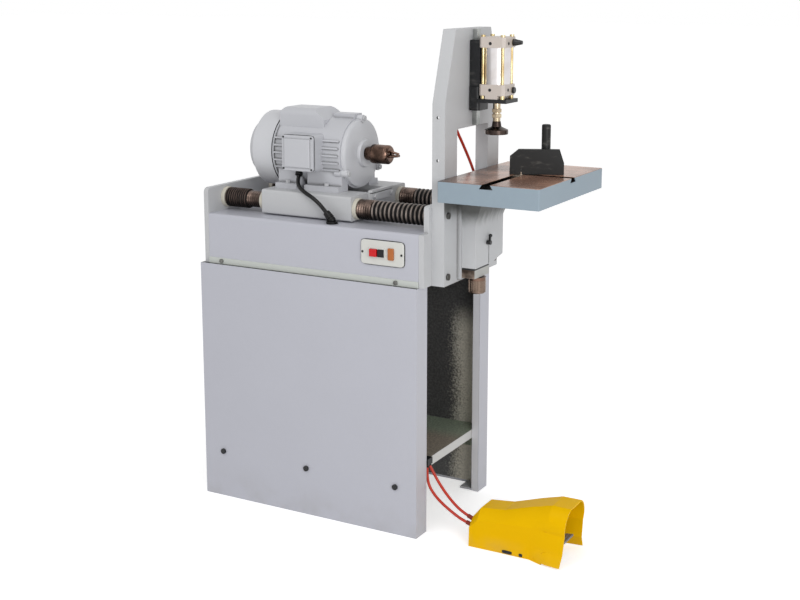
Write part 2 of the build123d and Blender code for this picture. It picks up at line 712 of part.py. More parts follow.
with BuildPart() as chuck_body:
    turned(
        (
            (CHUCK_REAR, SHAFT_NOSE),
            (CHUCK_REAR, 19),
            (CHUCK_REAR + 2, 20),
            (CHUCK_REAR + 13, 20),
            (CHUCK_REAR + 13, 21.5),
            (CHUCK_NOSE - 1.5, 21.5),
            (CHUCK_NOSE, 20),
            (CHUCK_NOSE, 6.5),
            (CHUCK_REAR + 32, 6.5),
            (CHUCK_REAR + 32, 0),
            (CHUCK_REAR + 28, 0),
            (CHUCK_REAR + 28, SHAFT_NOSE),
        )
    )
    for jaw_angle in JAW_ANGLES:
        with BuildSketch(jaw_plane(jaw_angle)):
            Circle(JAW_RADIUS + RUNNING_FIT)
        extrude(amount=JAW_LENGTH + 14, mode=Mode.SUBTRACT)
save(chuck_body, "chuck_body")

with BuildPart() as chuck_sleeve:
    turned(
        (
            (CHUCK_REAR + 14, 21.5 + SLIDE_GAP),
            (CHUCK_REAR + 14, CHUCK_RADIUS - 3),
            (CHUCK_REAR + 17, CHUCK_RADIUS),
            (CHUCK_NOSE - 5, CHUCK_RADIUS),
            (CHUCK_NOSE - 1.5, CHUCK_RADIUS - 3),
            (CHUCK_NOSE - 1.5, 21.5 + SLIDE_GAP),
        )
    )
save(chuck_sleeve, "chuck_sleeve")

for jaw_number, jaw_angle in enumerate(JAW_ANGLES, start=1):
    with BuildPart() as jaw:
        with BuildSketch(jaw_plane(jaw_angle)):
            Circle(JAW_RADIUS)
        extrude(amount=JAW_LENGTH)
        apex = around_spindle(jaw_angle, 0.3)
        wedge_sides = [around_spindle(jaw_angle + turn, 40) for turn in (-60, 60)]
        wedge = polygon(Plane.YZ.offset(JAW_TIP_X - 60), (apex, *wedge_sides))
        extrude(wedge, amount=80, mode=Mode.INTERSECT)
    save(jaw, f"chuck_jaw_{jaw_number}")

# Column: a ribbed portal with a window, and a dovetailed way for the knee
COLUMN_OUTLINE = (
    (-COLUMN_HALF_WIDTH, STAND_HEIGHT),
    (-COLUMN_HALF_WIDTH, COLUMN_BEND),
    (-COLUMN_TOP_HALF_WIDTH, COLUMN_TOP),
    (COLUMN_TOP_HALF_WIDTH, COLUMN_TOP),
    (COLUMN_HALF_WIDTH, COLUMN_BEND),
    (COLUMN_HALF_WIDTH, STAND_HEIGHT),
)
SCREW_PLACES = [(y, z) for y in (-144, 144) for z in (714, 877)]
TONGUE_MOUTH = 30
TONGUE_ROOT = 38
TONGUE_DEPTH = 9
HOSE_RIB_Z = 1164
window_z = (WINDOW_BOTTOM + WINDOW_TOP) / 2
window_height = WINDOW_TOP - WINDOW_BOTTOM
with BuildPart() as column:
    extrude(polygon(Plane.YZ.offset(COLUMN_BACK), COLUMN_OUTLINE), amount=COLUMN_DEPTH)
    with BuildSketch(Plane.YZ.offset(COLUMN_BACK)):
        with BuildLine():
            Polyline(*COLUMN_OUTLINE, close=True)
        make_face()
        offset(amount=-COLUMN_WALL, kind=Kind.INTERSECTION, mode=Mode.REPLACE)
        with Locations((0, window_z)):
            frame_wall = 2 * COLUMN_WALL
            Rectangle(2 * WINDOW_HALF_WIDTH + frame_wall, window_height + frame_wall, mode=Mode.SUBTRACT)
        with Locations((0, HOSE_RIB_Z + 4)):
            Rectangle(2 * COLUMN_HALF_WIDTH, 8, mode=Mode.SUBTRACT)
        with Locations(*SCREW_PLACES):
            Circle(14, mode=Mode.SUBTRACT)
    extrude(amount=COLUMN_DEPTH - WEB, mode=Mode.SUBTRACT)
    with BuildSketch(Plane.YZ.offset(COLUMN_BACK)):
        with Locations((0, window_z)):
            RectangleRounded(2 * WINDOW_HALF_WIDTH, window_height, 6)
    extrude(amount=COLUMN_DEPTH, mode=Mode.SUBTRACT)
    box((WEB_FACE, WAY_FACE), (-WAY_HALF_WIDTH, WAY_HALF_WIDTH), (WAY_BOTTOM, WAY_TOP))
    groove = polygon(
        Plane.XY.offset(WAY_BOTTOM),
        (
            (WAY_FACE, -TONGUE_MOUTH),
            (WAY_FACE, TONGUE_MOUTH),
            (WAY_FACE - TONGUE_DEPTH, TONGUE_ROOT),
            (WAY_FACE - TONGUE_DEPTH, -TONGUE_ROOT),
        ),
    )
    extrude(groove, amount=WAY_TOP - WAY_BOTTOM, mode=Mode.SUBTRACT)
    for hole_z in (1022, 1133):
        hole_span = (-COLUMN_HALF_WIDTH, COLUMN_WALL - COLUMN_HALF_WIDTH)
        rod_y(COLUMN_BACK + 16, hole_span, 4, hole_z, Mode.SUBTRACT)
save(column, "column")

# Screws of the frame: shelf bolts, base strip screws and column screws
with BuildPart() as frame_screws:
    for side in (-1, 1):
        for step in (-1, 0, 1):
            head_span = sorted((side * STAND_HALF_DEPTH, side * (STAND_HALF_DEPTH + 5)))
            shank_span = sorted((side * STAND_HALF_DEPTH, side * (STAND_HALF_DEPTH - 18)))
            rod_y(step * SHELF_BOLT_SPACING, head_span, 8, SHELF_BOLT_Z)
            rod_y(step * SHELF_BOLT_SPACING, shank_span, 5.5, SHELF_BOLT_Z)
        for screw_x in (-282, 282):
            strip_y = BED_HALF_DEPTH + BASE_STRIP_PROUD
            head_span = sorted((side * strip_y, side * (strip_y + 4)))
            rod_y(screw_x, head_span, 6, STAND_HEIGHT + 9)
    for screw_y, screw_z in SCREW_PLACES:
        rod_x((WEB_FACE, WEB_FACE + 5), 9, screw_y, screw_z)
        slot_y = (screw_y - 1.2, screw_y + 1.2)
        box((WEB_FACE + 3, WEB_FACE + 5), slot_y, (screw_z - 9, screw_z + 9), Mode.SUBTRACT)
save(frame_screws, "frame_screws")

# Knee, elevating screw and its bracket
with BuildPart() as knee:
    box((WAY_FACE, KNEE_FACE), (-KNEE_HALF_WIDTH, KNEE_HALF_WIDTH), (KNEE_BOTTOM, TABLE_BOTTOM))
    for flare_z, flare in ((852, 0), (TABLE_BOTTOM, 26)):
        with BuildSketch(Plane.XY.offset(flare_z)):
            with Locations(((WAY_FACE + KNEE_FACE + flare) / 2, 0)):
                Rectangle(KNEE_DEPTH + flare, 2 * KNEE_HALF_WIDTH + 0.7 * flare)
    loft()
    tongue = polygon(
        Plane.XY.offset(KNEE_BOTTOM),
        (
            (WAY_FACE, SLIDE_GAP - TONGUE_MOUTH),
            (WAY_FACE, TONGUE_MOUTH - SLIDE_GAP),
            (WAY_FACE - TONGUE_DEPTH + SLIDE_GAP, TONGUE_ROOT - 2 * SLIDE_GAP),
            (WAY_FACE - TONGUE_DEPTH + SLIDE_GAP, 2 * SLIDE_GAP - TONGUE_ROOT),
        ),
    )
    extrude(tongue, amount=WAY_TOP - KNEE_BOTTOM - 30)
    box((WAY_FACE + 10, KNEE_FACE - 10), (8, KNEE_HALF_WIDTH - 12), (750, TABLE_BOTTOM), Mode.SUBTRACT)
    rod_z(SCREW_X, SCREW_Y, (KNEE_BOTTOM, 890), SCREW_RADIUS + RUNNING_FIT, Mode.SUBTRACT)
    box((KNEE_FACE - 4, KNEE_FACE), (-5, -1), (KNEE_BOTTOM, 800), Mode.SUBTRACT)
    corner = polygon(
        Plane.YZ.offset(WAY_FACE),
        (
            (KNEE_HALF_WIDTH - 67, KNEE_BOTTOM),
            (KNEE_HALF_WIDTH, KNEE_BOTTOM),
            (KNEE_HALF_WIDTH, KNEE_BOTTOM + 13),
        ),
    )
    extrude(corner, amount=KNEE_DEPTH, mode=Mode.SUBTRACT)
save(knee, "knee")

BRACKET_Z = (701, 727)
with BuildPart() as elevating_bracket:
    box((WAY_FACE, KNEE_FACE - 3), (-83, 5), BRACKET_Z)
    rod_z(SCREW_X, SCREW_Y, BRACKET_Z, SCREW_RADIUS + RUNNING_FIT, Mode.SUBTRACT)
save(elevating_bracket, "elevating_bracket")

KNOB_Z = (655, 699)
with BuildPart() as elevating_screw:
    rod_z(SCREW_X, SCREW_Y, (KNOB_Z[1], 862), SCREW_RADIUS)
    rod_z(SCREW_X, SCREW_Y, KNOB_Z, KNOB_RADIUS)
    chamfer(elevating_screw.faces().sort_by(Axis.Z)[0].edges(), 3)
    rod_z(SCREW_X, SCREW_Y, (BRACKET_Z[1] + 0.4, BRACKET_Z[1] + 1.6), 12)
    with Locations((SCREW_X, SCREW_Y, KNOB_Z[0] + 8)):
        with PolarLocations(KNOB_RADIUS + 0.5, 18):
            Cylinder(1.6, 28, align=UPWARD, mode=Mode.SUBTRACT)
save(elevating_screw, "elevating_screw")

LOCK = (-16, 790)
with BuildPart() as lock_lever:
    rod_x((KNEE_FACE + SLIDE_GAP, KNEE_FACE + 12), 6, *LOCK)
    with BuildSketch(Plane.YZ.offset(KNEE_FACE + 5)):
        with Locations((LOCK[0] + 2, LOCK[1] + 8)):
            SlotOverall(24, 6, rotation=75)
    extrude(amount=5)
    with Locations((KNEE_FACE + 8, LOCK[0] + 4.5, LOCK[1] + 18)):
        Sphere(5)
save(lock_lever, "lock_lever")

# Table: a ribbed casting with two dovetail slots
RIM = 14
TOP_PLATE = 18
with BuildPart() as table:
    box((TABLE_LEFT, TABLE_RIGHT), (TABLE_FRONT, TABLE_BACK), (TABLE_BOTTOM, TABLE_TOP))
    fillet(table.edges().filter_by(Axis.Z), 4)
    with BuildSketch(Plane.XY.offset(TABLE_BOTTOM)):
        table_x = (TABLE_LEFT + TABLE_RIGHT) / 2
        table_y = (TABLE_FRONT + TABLE_BACK) / 2
        table_length = TABLE_RIGHT - TABLE_LEFT
        table_depth = TABLE_BACK - TABLE_FRONT
        with Locations((table_x, table_y)):
            Rectangle(table_length - 2 * RIM, table_depth - 2 * RIM)
        with Locations((LONG_SLOT_X, table_y)):
            Rectangle(60, table_depth, mode=Mode.SUBTRACT)
        with Locations((table_x, CROSS_SLOT_Y)):
            Rectangle(table_length, 60, mode=Mode.SUBTRACT)
        with Locations((KNEE_FACE - 10, 0)):
            Rectangle(90, 2 * KNEE_HALF_WIDTH + 30, mode=Mode.SUBTRACT)
    extrude(amount=TABLE_TOP - TABLE_BOTTOM - TOP_PLATE, mode=Mode.SUBTRACT)
    slot_floor = TABLE_TOP - SLOT_DEPTH
    long_slot = polygon(
        Plane.XZ.offset(-TABLE_BACK),
        (
            (LONG_SLOT_X - SLOT_MOUTH / 2, TABLE_TOP),
            (LONG_SLOT_X + SLOT_MOUTH / 2, TABLE_TOP),
            (LONG_SLOT_X + SLOT_FLOOR / 2, slot_floor),
            (LONG_SLOT_X - SLOT_FLOOR / 2, slot_floor),
        ),
    )
    extrude(long_slot, amount=table_depth, mode=Mode.SUBTRACT)
    cross_slot = polygon(
        Plane.YZ.offset(LONG_SLOT_X),
        (
            (CROSS_SLOT_Y - SLOT_MOUTH / 2, TABLE_TOP),
            (CROSS_SLOT_Y + SLOT_MOUTH / 2, TABLE_TOP),
            (CROSS_SLOT_Y + SLOT_FLOOR / 2, slot_floor),
            (CROSS_SLOT_Y - SLOT_FLOOR / 2, slot_floor),
        ),
    )
    extrude(cross_slot, amount=TABLE_RIGHT - LONG_SLOT_X, mode=Mode.SUBTRACT)
save(table, "table")

# Fence: a dovetail bar in the long slot, a swivelling head and a locking post
bar_low = slot_floor + SLIDE_GAP
bar_high = TABLE_TOP - 0.1
with BuildPart() as fence_bar:
    bar_profile = polygon(
        Plane.XZ.offset(-118),
        (
            (LONG_SLOT_X - SLOT_MOUTH / 2 + 2 * SLIDE_GAP, bar_high),
            (LONG_SLOT_X + SLOT_MOUTH / 2 - 2 * SLIDE_GAP, bar_high),
            (LONG_SLOT_X + SLOT_FLOOR / 2 - 2 * SLIDE_GAP, bar_low),
            (LONG_SLOT_X - SLOT_FLOOR / 2 + 2 * SLIDE_GAP, bar_low),
        ),
    )
    extrude(bar_profile, amount=140)
    rod_z(LONG_SLOT_X, FENCE_PIVOT_Y, (bar_low, TABLE_TOP + 14), 8)
save(fence_bar, "fence_bar")

FENCE_BASE = TABLE_TOP + 0.4
FENCE_FOOT = TABLE_TOP + 12
POST_PLACE = (65, 22)
fence_turn = Location((LONG_SLOT_X, FENCE_PIVOT_Y, 0), (0, 0, FENCE_ANGLE))
fence_cos, fence_sin = cos(radians(FENCE_ANGLE)), sin(radians(FENCE_ANGLE))
fence_upright = Plane(
    (LONG_SLOT_X, FENCE_PIVOT_Y, 0),
    x_dir=(fence_cos, fence_sin, 0),
    z_dir=(fence_sin, -fence_cos, 0),
)
with BuildPart() as fence_head:
    with BuildSketch(fence_upright.offset(8)):
        with BuildLine():
            Polyline(
                (FENCE_LEFT, FENCE_BASE),
                (FENCE_RIGHT, FENCE_BASE),
                (FENCE_RIGHT, FENCE_TOP - 36),
                (FENCE_RIGHT - 12, FENCE_TOP),
                (FENCE_LEFT + 23, FENCE_TOP),
                (FENCE_LEFT, FENCE_TOP - 19),
                close=True,
            )
        make_face()
    extrude(amount=-12)
    with BuildSketch(Plane(fence_turn).offset(FENCE_BASE)):
        with Locations(((FENCE_LEFT + FENCE_RIGHT) / 2, 17)):
            Rectangle(FENCE_RIGHT - FENCE_LEFT, 42)
    extrude(amount=FENCE_FOOT - FENCE_BASE)
    with BuildSketch(fence_upright.offset(-4)):
        with BuildLine():
            Polyline(
                (40, FENCE_FOOT),
                (48, FENCE_FOOT),
                (48, FENCE_TOP - 12),
                (40, FENCE_TOP - 12),
                close=True,
            )
        make_face()
    extrude(amount=-14)
    rod_z(LONG_SLOT_X, FENCE_PIVOT_Y, (FENCE_BASE, TABLE_TOP + 15), 8 + RUNNING_FIT, Mode.SUBTRACT)
    with BuildSketch(Plane(fence_turn).offset(FENCE_BASE)):
        with Locations(POST_PLACE):
            Circle(5 + RUNNING_FIT)
    extrude(amount=FENCE_FOOT - FENCE_BASE, mode=Mode.SUBTRACT)
save(fence_head, "fence_head")

with BuildPart() as fence_handle:
    with BuildSketch(Plane(fence_turn).offset(FENCE_FOOT + SLIDE_GAP)):
        with Locations(POST_PLACE):
            Circle(POST_RADIUS)
    extrude(amount=POST_TOP - FENCE_FOOT - SLIDE_GAP)
    fillet(fence_handle.faces().sort_by(Axis.Z)[-1].edges(), 4)
    with BuildSketch(Plane(fence_turn).offset(FENCE_BASE + 1)):
        with Locations(POST_PLACE):
            Circle(5)
    extrude(amount=FENCE_FOOT + SLIDE_GAP - FENCE_BASE - 1)
save(fence_handle, "fence_handle")

# Work clamp: T rail, bracket, air cylinder, rod and swivel pad
RAIL_NECK = (6, 7)
RAIL_HEAD = (10, 16)
with BuildPart() as clamp_rail:
    rail_z = (WINDOW_TOP + 4, COLUMN_TOP - 2)
    box((WEB_FACE, WEB_FACE + RAIL_NECK[1]), (-RAIL_NECK[0], RAIL_NECK[0]), rail_z)
    box((WEB_FACE + RAIL_NECK[1], WEB_FACE + RAIL_HEAD[1]), (-RAIL_HEAD[0], RAIL_HEAD[0]), rail_z)
save(clamp_rail, "clamp_rail")

BRACKET_BACK = WEB_FACE + 2
BRACKET_FRONT = CLAMP_X - CAP_SIDE / 2 - 1
SHOE_Z = (1142, 1204)
CHEEK_Z = (1204, 1326)
PLATE_Z = (CAP_LOW[0] - 10, CAP_LOW[0])
with BuildPart() as clamp_bracket:
    box((BRACKET_BACK, BRACKET_FRONT), (-32, 32), SHOE_Z)
    fillet(clamp_bracket.edges().filter_by(Axis.Z), 8)
    box((BRACKET_BACK, BRACKET_FRONT), (-26, 26), CHEEK_Z)
    box((BRACKET_FRONT - 4, CLAMP_X + 43), (-38, 38), PLATE_Z)
    neck_x = (BRACKET_BACK, WEB_FACE + RAIL_NECK[1])
    head_x = (WEB_FACE + RAIL_NECK[1] - SLIDE_GAP, WEB_FACE + RAIL_HEAD[1] + SLIDE_GAP)
    slot_z = (SHOE_Z[0], CHEEK_Z[1])
    neck_y = RAIL_NECK[0] + SLIDE_GAP
    head_y = RAIL_HEAD[0] + SLIDE_GAP
    box(neck_x, (-neck_y, neck_y), slot_z, Mode.SUBTRACT)
    box(head_x, (-head_y, head_y), slot_z, Mode.SUBTRACT)
    rod_z(CLAMP_X, 0, PLATE_Z, 16, Mode.SUBTRACT)
save(clamp_bracket, "clamp_bracket")

BORE = PISTON_RADIUS + RUNNING_FIT
with BuildPart() as clamp_barrel:
    rod_z(CLAMP_X, 0, (CAP_LOW[1], CAP_HIGH[0]), BARREL_RADIUS)
    rod_z(CLAMP_X, 0, (CAP_LOW[1], CAP_HIGH[0]), BORE, Mode.SUBTRACT)
save(clamp_barrel, "clamp_barrel")

cap_x = (CLAMP_X - CAP_SIDE / 2, CLAMP_X + CAP_SIDE / 2)
cap_y = (-CAP_SIDE / 2, CAP_SIDE / 2)
with BuildPart() as clamp_caps:
    for cap_span in (CAP_LOW, CAP_HIGH):
        box(cap_x, cap_y, cap_span)
    chamfer(clamp_caps.edges().filter_by(Axis.Z), 7)
    for foot_side in (-1, 1):
        relief_x = sorted((CLAMP_X + foot_side * CAP_SIDE / 2, CLAMP_X + foot_side * 18))
        box(relief_x, cap_y, (CAP_LOW[0], CAP_LOW[0] + 9), Mode.SUBTRACT)
    rod_z(CLAMP_X, 0, CAP_LOW, CLAMP_ROD_RADIUS + RUNNING_FIT, Mode.SUBTRACT)
save(clamp_caps, "clamp_caps")

TIE_PITCH = 56
with BuildPart() as clamp_hardware:
    for tie_x in (CLAMP_X - TIE_PITCH / 2, CLAMP_X + TIE_PITCH / 2):
        for tie_y in (-TIE_PITCH / 2, TIE_PITCH / 2):
            rod_z(tie_x, tie_y, (CAP_LOW[1], CAP_HIGH[0]), 4)
            rod_z(tie_x, tie_y, (CAP_HIGH[1], CAP_HIGH[1] + 5), 6)
            rod_z(tie_x, tie_y, (CAP_LOW[0], CAP_LOW[0] + 9), 6)
    fitting_x = CLAMP_X + CAP_SIDE / 2
    rod_x((fitting_x, fitting_x + 8), 9, 16, CAP_HIGH[0] + 13)
    with Locations(Location((fitting_x + 8, 16, CAP_HIGH[0] + 13), (0, 90, 0))):
        Cone(8.5, 5, 18, align=UPWARD)
    rod_x((fitting_x, fitting_x + 7), 8, 16, CAP_LOW[0] + 22)
save(clamp_hardware, "clamp_hardware")

PISTON_Z = (CAP_HIGH[0] - 18, CAP_HIGH[0] - 4)
with BuildPart() as clamp_rod:
    rod_z(CLAMP_X, 0, PISTON_Z, PISTON_RADIUS)
    rod_z(CLAMP_X, 0, (PAD_BOTTOM + 34, PISTON_Z[0]), CLAMP_ROD_RADIUS)
    for nut_z in (1138, 1124):
        with BuildSketch(Plane.XY.offset(nut_z)):
            with Locations((CLAMP_X, 0)):
                RegularPolygon(14, 6)
        extrude(amount=9)
save(clamp_rod, "clamp_rod")

with BuildPart() as clamp_pad:
    with BuildSketch(Plane((CLAMP_X, 0, 0), x_dir=(1, 0, 0), z_dir=(0, -1, 0))):
        with BuildLine():
            Polyline(
                (0, PAD_BOTTOM),
                (PAD_RADIUS, PAD_BOTTOM),
                (PAD_RADIUS, PAD_BOTTOM + 12),
                (13, PAD_BOTTOM + 20),
                (11, PAD_BOTTOM + 34),
                (0, PAD_BOTTOM + 34),
                close=True,
            )
        make_face()
    revolve(axis=Axis((CLAMP_X, 0, 0), (0, 0, 1)))
save(clamp_pad, "clamp_pad")

# Switch: a rounded plate with a contact block behind it, and two push buttons
PLATE_FRONT = -BED_HALF_DEPTH - 6
BUTTON_BACK = PLATE_FRONT + 10
button_rows = (("stop_button", STOP_BUTTON, 9), ("start_button", START_BUTTON, 7))
with BuildPart() as switch_plate:
    with BuildSketch(Plane.XZ.offset(BED_HALF_DEPTH)):
        with Locations((SWITCH_X, SWITCH_Z)):
            RectangleRounded(*SWITCH_SIZE, 10)
    extrude(amount=6)
    chamfer(switch_plate.faces().sort_by(Axis.Y)[0].edges(), 2)
    block_y = (-BED_HALF_DEPTH, 45 - BED_HALF_DEPTH)
    box((SWITCH_X - 48, SWITCH_X + 50), block_y, (SWITCH_Z - 24, SWITCH_Z + 24))
    bezel_x = (STOP_BUTTON[0] - 14.5, START_BUTTON[0] + 12.5)
    box(bezel_x, (PLATE_FRONT - 3, PLATE_FRONT), (SWITCH_Z - 14, SWITCH_Z + 14))
    strip_x = (SWITCH_X + 20, SWITCH_X + 36)
    box(strip_x, (PLATE_FRONT - 4, PLATE_FRONT), (SWITCH_Z - 15, SWITCH_Z + 15))
    for button_name, (button_x, width, height), proud in button_rows:
        hole_x = (button_x - width / 2 - SLIDE_GAP, button_x + width / 2 + SLIDE_GAP)
        hole_z = (SWITCH_Z - height / 2 - SLIDE_GAP, SWITCH_Z + height / 2 + SLIDE_GAP)
        box(hole_x, (PLATE_FRONT - 3, BUTTON_BACK + 6), hole_z, Mode.SUBTRACT)
save(switch_plate, "switch_plate")

for button_name, (button_x, width, height), proud in button_rows:
    with BuildPart() as button:
        span_x = (button_x - width / 2, button_x + width / 2)
        span_z = (SWITCH_Z - height / 2, SWITCH_Z + height / 2)
        box(span_x, (PLATE_FRONT - proud, BUTTON_BACK), span_z)
        fillet(button.faces().sort_by(Axis.Y)[0].edges(), 2)
    save(button, button_name)

# Foot pedal: base with ears, flared guard, air valve and treadle
# Each guard section: x, half width at foot, waist and shoulder, shoulder and top height,
# how far the corner between them bulges, lean
PEDAL_SECTIONS = (
    (PEDAL_REAR, 59, 57.5, 57, 52, 74, 0.04, 0),
    (PEDAL_REAR + 24, 59, 57.5, 58.5, 76, 104, 0.04, 0),
    (PEDAL_REAR + 92, 58, 57, 59.5, 82, 111, 0.06, 0),
    (PEDAL_REAR + 174, 59, 58.5, 63, 90, 137, 0.1, 0),
    (PEDAL_REAR + 229, 80, 66, 64, 86, 152, 0.2, 0),
    (PEDAL_FRONT, 84, 70, 66, 86, 152, 0.2, MOUTH_LEAN),
)
with BuildPart() as pedal_base:
    with BuildSketch():
        with BuildLine():
            base_rows = (*PEDAL_SECTIONS[:4], PEDAL_BASE_FRONT)
            base_side = [(row[0], PEDAL_Y - row[1]) for row in base_rows]
            far_side = [(row[0], PEDAL_Y + row[1]) for row in reversed(base_rows)]
            Polyline(*base_side, *far_side, close=True)
        make_face()
    extrude(amount=PEDAL_BASE)
    for ear in ((-52, -46), (46, 52)):
        ear_y = (PEDAL_Y + ear[0], PEDAL_Y + ear[1])
        box((TREADLE_X - 11, TREADLE_X + 11), ear_y, (PEDAL_BASE, TREADLE_Z + 8))
        rod_y(TREADLE_X, ear_y, 4 + RUNNING_FIT, TREADLE_Z, Mode.SUBTRACT)
save(pedal_base, "pedal_base")


def guard_section(x, foot, waist, shoulder_half, shoulder, top, bulge, lean, inset):
    """An arched cross-section of the guard: flared sides, shoulders and a rounded crown."""
    facing = (cos(radians(lean)), 0, -sin(radians(lean)))
    plane = Plane((x, PEDAL_Y, PEDAL_BASE), x_dir=(0, 1, 0), z_dir=facing)
    foot, waist, half = foot - inset, waist - inset, shoulder_half - inset
    waist_z, shoulder, top = WAIST_Z - PEDAL_BASE, shoulder - PEDAL_BASE, top - inset - PEDAL_BASE
    side = ((half, shoulder), (waist, waist_z), (foot, 0))
    crown = 0.55 * half
    bend = (
        (crown + half) / 2 + bulge * (top - shoulder),
        (shoulder + top) / 2 + bulge * (half - crown),
    )
    with BuildSketch(plane) as section:
        with BuildLine():
            Polyline(*side, *((-y, z) for y, z in reversed(side)))
            ThreePointArc((-half, shoulder), (-bend[0], bend[1]), (-crown, top))
            Line((-crown, top), (crown, top))
            ThreePointArc((crown, top), bend, (half, shoulder))
        make_face()
    return section.sketch


with BuildPart() as pedal_guard:
    loft([guard_section(*row, 0) for row in PEDAL_SECTIONS], ruled=True)
    hollow = [guard_section(*row, PEDAL_WALL) for row in PEDAL_SECTIONS]
    hollow[0] = guard_section(PEDAL_REAR + PEDAL_WALL, *PEDAL_SECTIONS[0][1:], PEDAL_WALL)
    loft(hollow, ruled=True, mode=Mode.SUBTRACT)
save(pedal_guard, "pedal_guard")

# The treadle's tail lifts the valve's plunger, which points down from the valve block
TAIL = 42
PLUNGER_X = TREADLE_X - 36
PLUNGER_TIP = TREADLE_Z + 4.5
with BuildPart() as pedal_valve:
    box((PEDAL_REAR + 16, PEDAL_REAR + 106), (PEDAL_Y - 32, PEDAL_Y + 14), (38, 66))
    box((PEDAL_REAR + 16, PEDAL_REAR + 72), (PEDAL_Y - 32, PEDAL_Y + 14), (PEDAL_BASE, 38))
    fillet(pedal_valve.edges().filter_by(Axis.Z), 4)
    rod_z(PLUNGER_X, PEDAL_Y, (PLUNGER_TIP, 38), 5)
save(pedal_valve, "pedal_valve")

tilt = radians(TREADLE_TILT)
with BuildPart() as treadle:
    hinge = (TREADLE_X, PEDAL_Y, TREADLE_Z)
    treadle_plane = Plane(hinge, x_dir=(cos(tilt), 0, sin(tilt)), z_dir=(0, -1, 0))
    plate_outline = ((0, -5), (126, -5), (132, -2), (132, 3), (0, 5))
    extrude(polygon(treadle_plane, plate_outline), amount=44, both=True)
    tail_outline = ((0, -4), (0, 4), (-TAIL, 4), (-TAIL, 0), (-TAIL + 6, -4))
    extrude(polygon(treadle_plane, tail_outline), amount=8, both=True)
    rod_y(TREADLE_X, (PEDAL_Y - 44, PEDAL_Y + 44), 8, TREADLE_Z)
    rod_y(TREADLE_X, (PEDAL_Y - 52, PEDAL_Y + 52), 4, TREADLE_Z)
save(treadle, "treadle")

# Fittings: hose block on the shelf, pedal ports, clamp hose ends and the cable boot
UPPER_START = (349, -141, 182)
UPPER_NEXT = (371, -143, 149)
UPPER_LAST = (453, -156, 78)
UPPER_END = (476, -160, 71)
LOWER_START = (347, -153, 182)
LOWER_LAST = (459, -169, 61)
LOWER_END = (477, -171, 57)
HOSE_LOW = (355.5, 121, RIGHT_PLATE_TOP + 12)
HOSE_LOW_NEXT = (355.5, 118, 933)
HOSE_HIGH_LAST = (370, -43, 1134)
HOSE_HIGH = (375, -48, HOSE_RIB_Z - 8)
FITTING_RADIUS = 5.8
BOOT_LEAN = (-0.72, 0.08, 0.69)
BOOT_LENGTH = 26
BOOT_RADIUS = 10.5
BOOT_FLANGE = 16
boot_plane = Plane((GROMMET[0], GROMMET[1], DECK_TOP + 10), z_dir=BOOT_LEAN)
boot_end = boot_plane.origin + boot_plane.z_dir * BOOT_LENGTH
with BuildPart() as line_fittings:
    for hose_last, hose_end in ((UPPER_LAST, UPPER_END), (LOWER_LAST, LOWER_END)):
        with BuildSketch(Plane(hose_end, z_dir=Vector(*hose_end) - Vector(*hose_last))):
            Circle(FITTING_RADIUS)
        extrude(amount=40)
    box((PEDAL_REAR, PEDAL_REAR + 60), (PEDAL_Y - 67, PEDAL_Y + 13), (0, 100), Mode.SUBTRACT)
    box((300, 353), (-161, -133), (SHELF_TOP, SHELF_TOP + 18))
    with BuildSketch(Plane(UPPER_START, z_dir=Vector(*UPPER_START) - Vector(*UPPER_NEXT))):
        Circle(FITTING_RADIUS)
    extrude(amount=12)
    rod_z(LOWER_START[0], LOWER_START[1], (LOWER_START[2], SHELF_TOP), FITTING_RADIUS)
    with BuildSketch(Plane(HOSE_LOW, z_dir=Vector(*HOSE_LOW) - Vector(*HOSE_LOW_NEXT))):
        Circle(FITTING_RADIUS)
    extrude(amount=20)
    box((330, 380), (100, 140), (RIGHT_PLATE_TOP - 20, RIGHT_PLATE_TOP), Mode.SUBTRACT)
    with BuildSketch(Plane(HOSE_HIGH, z_dir=Vector(*HOSE_HIGH) - Vector(*HOSE_HIGH_LAST))):
        Circle(FITTING_RADIUS)
    extrude(amount=20)
    box((350, 400), (-80, -20), (HOSE_RIB_Z, HOSE_RIB_Z + 40), Mode.SUBTRACT)
    rod_z(GROMMET[0], GROMMET[1], (DECK_TOP, DECK_TOP + 7), BOOT_FLANGE)
    with Locations(boot_plane.origin):
        Sphere(BOOT_RADIUS)
    with BuildSketch(boot_plane):
        Circle(BOOT_RADIUS)
    extrude(amount=BOOT_LENGTH, taper=4)
save(line_fittings, "line_fittings")

# Hoses and the motor cable, from fitting to fitting
tube(
    (
        UPPER_START,
        UPPER_NEXT,
        (396, -147, 121),
        (424, -151, 96),
        UPPER_LAST,
        UPPER_END,
    ),
    HOSE_RADIUS,
    "pedal_hose_upper",
)
tube(
    (
        LOWER_START,
        (347, -153, 155),
        (353, -153, 130),
        (370, -155, 108),
        (398, -159, 88),
        (433, -164.5, 71),
        LOWER_LAST,
        LOWER_END,
    ),
    HOSE_RADIUS,
    "pedal_hose_lower",
)
tube(
    (
        HOSE_LOW,
        HOSE_LOW_NEXT,
        (355.5, 104, 954),
        (355.5, 73, 994.5),
        (355.5, 29, 1045),
        (355.5, -8, 1084),
        (358, -30, 1118),
        HOSE_HIGH_LAST,
        HOSE_HIGH,
    ),
    HOSE_RADIUS,
    "clamp_hose",
)
tube(
    (
        tuple(gland_end),
        tuple(gland_end + GLAND_LEAN * 22),
        (-52, -156, 918),
        (-24, -166, 906),
        (3, -171, 895),
        tuple(boot_end + boot_plane.z_dir * 27),
        tuple(boot_end),
    ),
    CABLE_RADIUS,
    "motor_cable",
)
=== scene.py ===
"""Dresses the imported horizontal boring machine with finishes, bellows, hoses and a studio.

Lengths are in metres, in the machine's own frame: +X along the spindle to the table, +Y to the
back, +Z up, with the origin on the floor in the middle of the stand.
"""

from __future__ import annotations

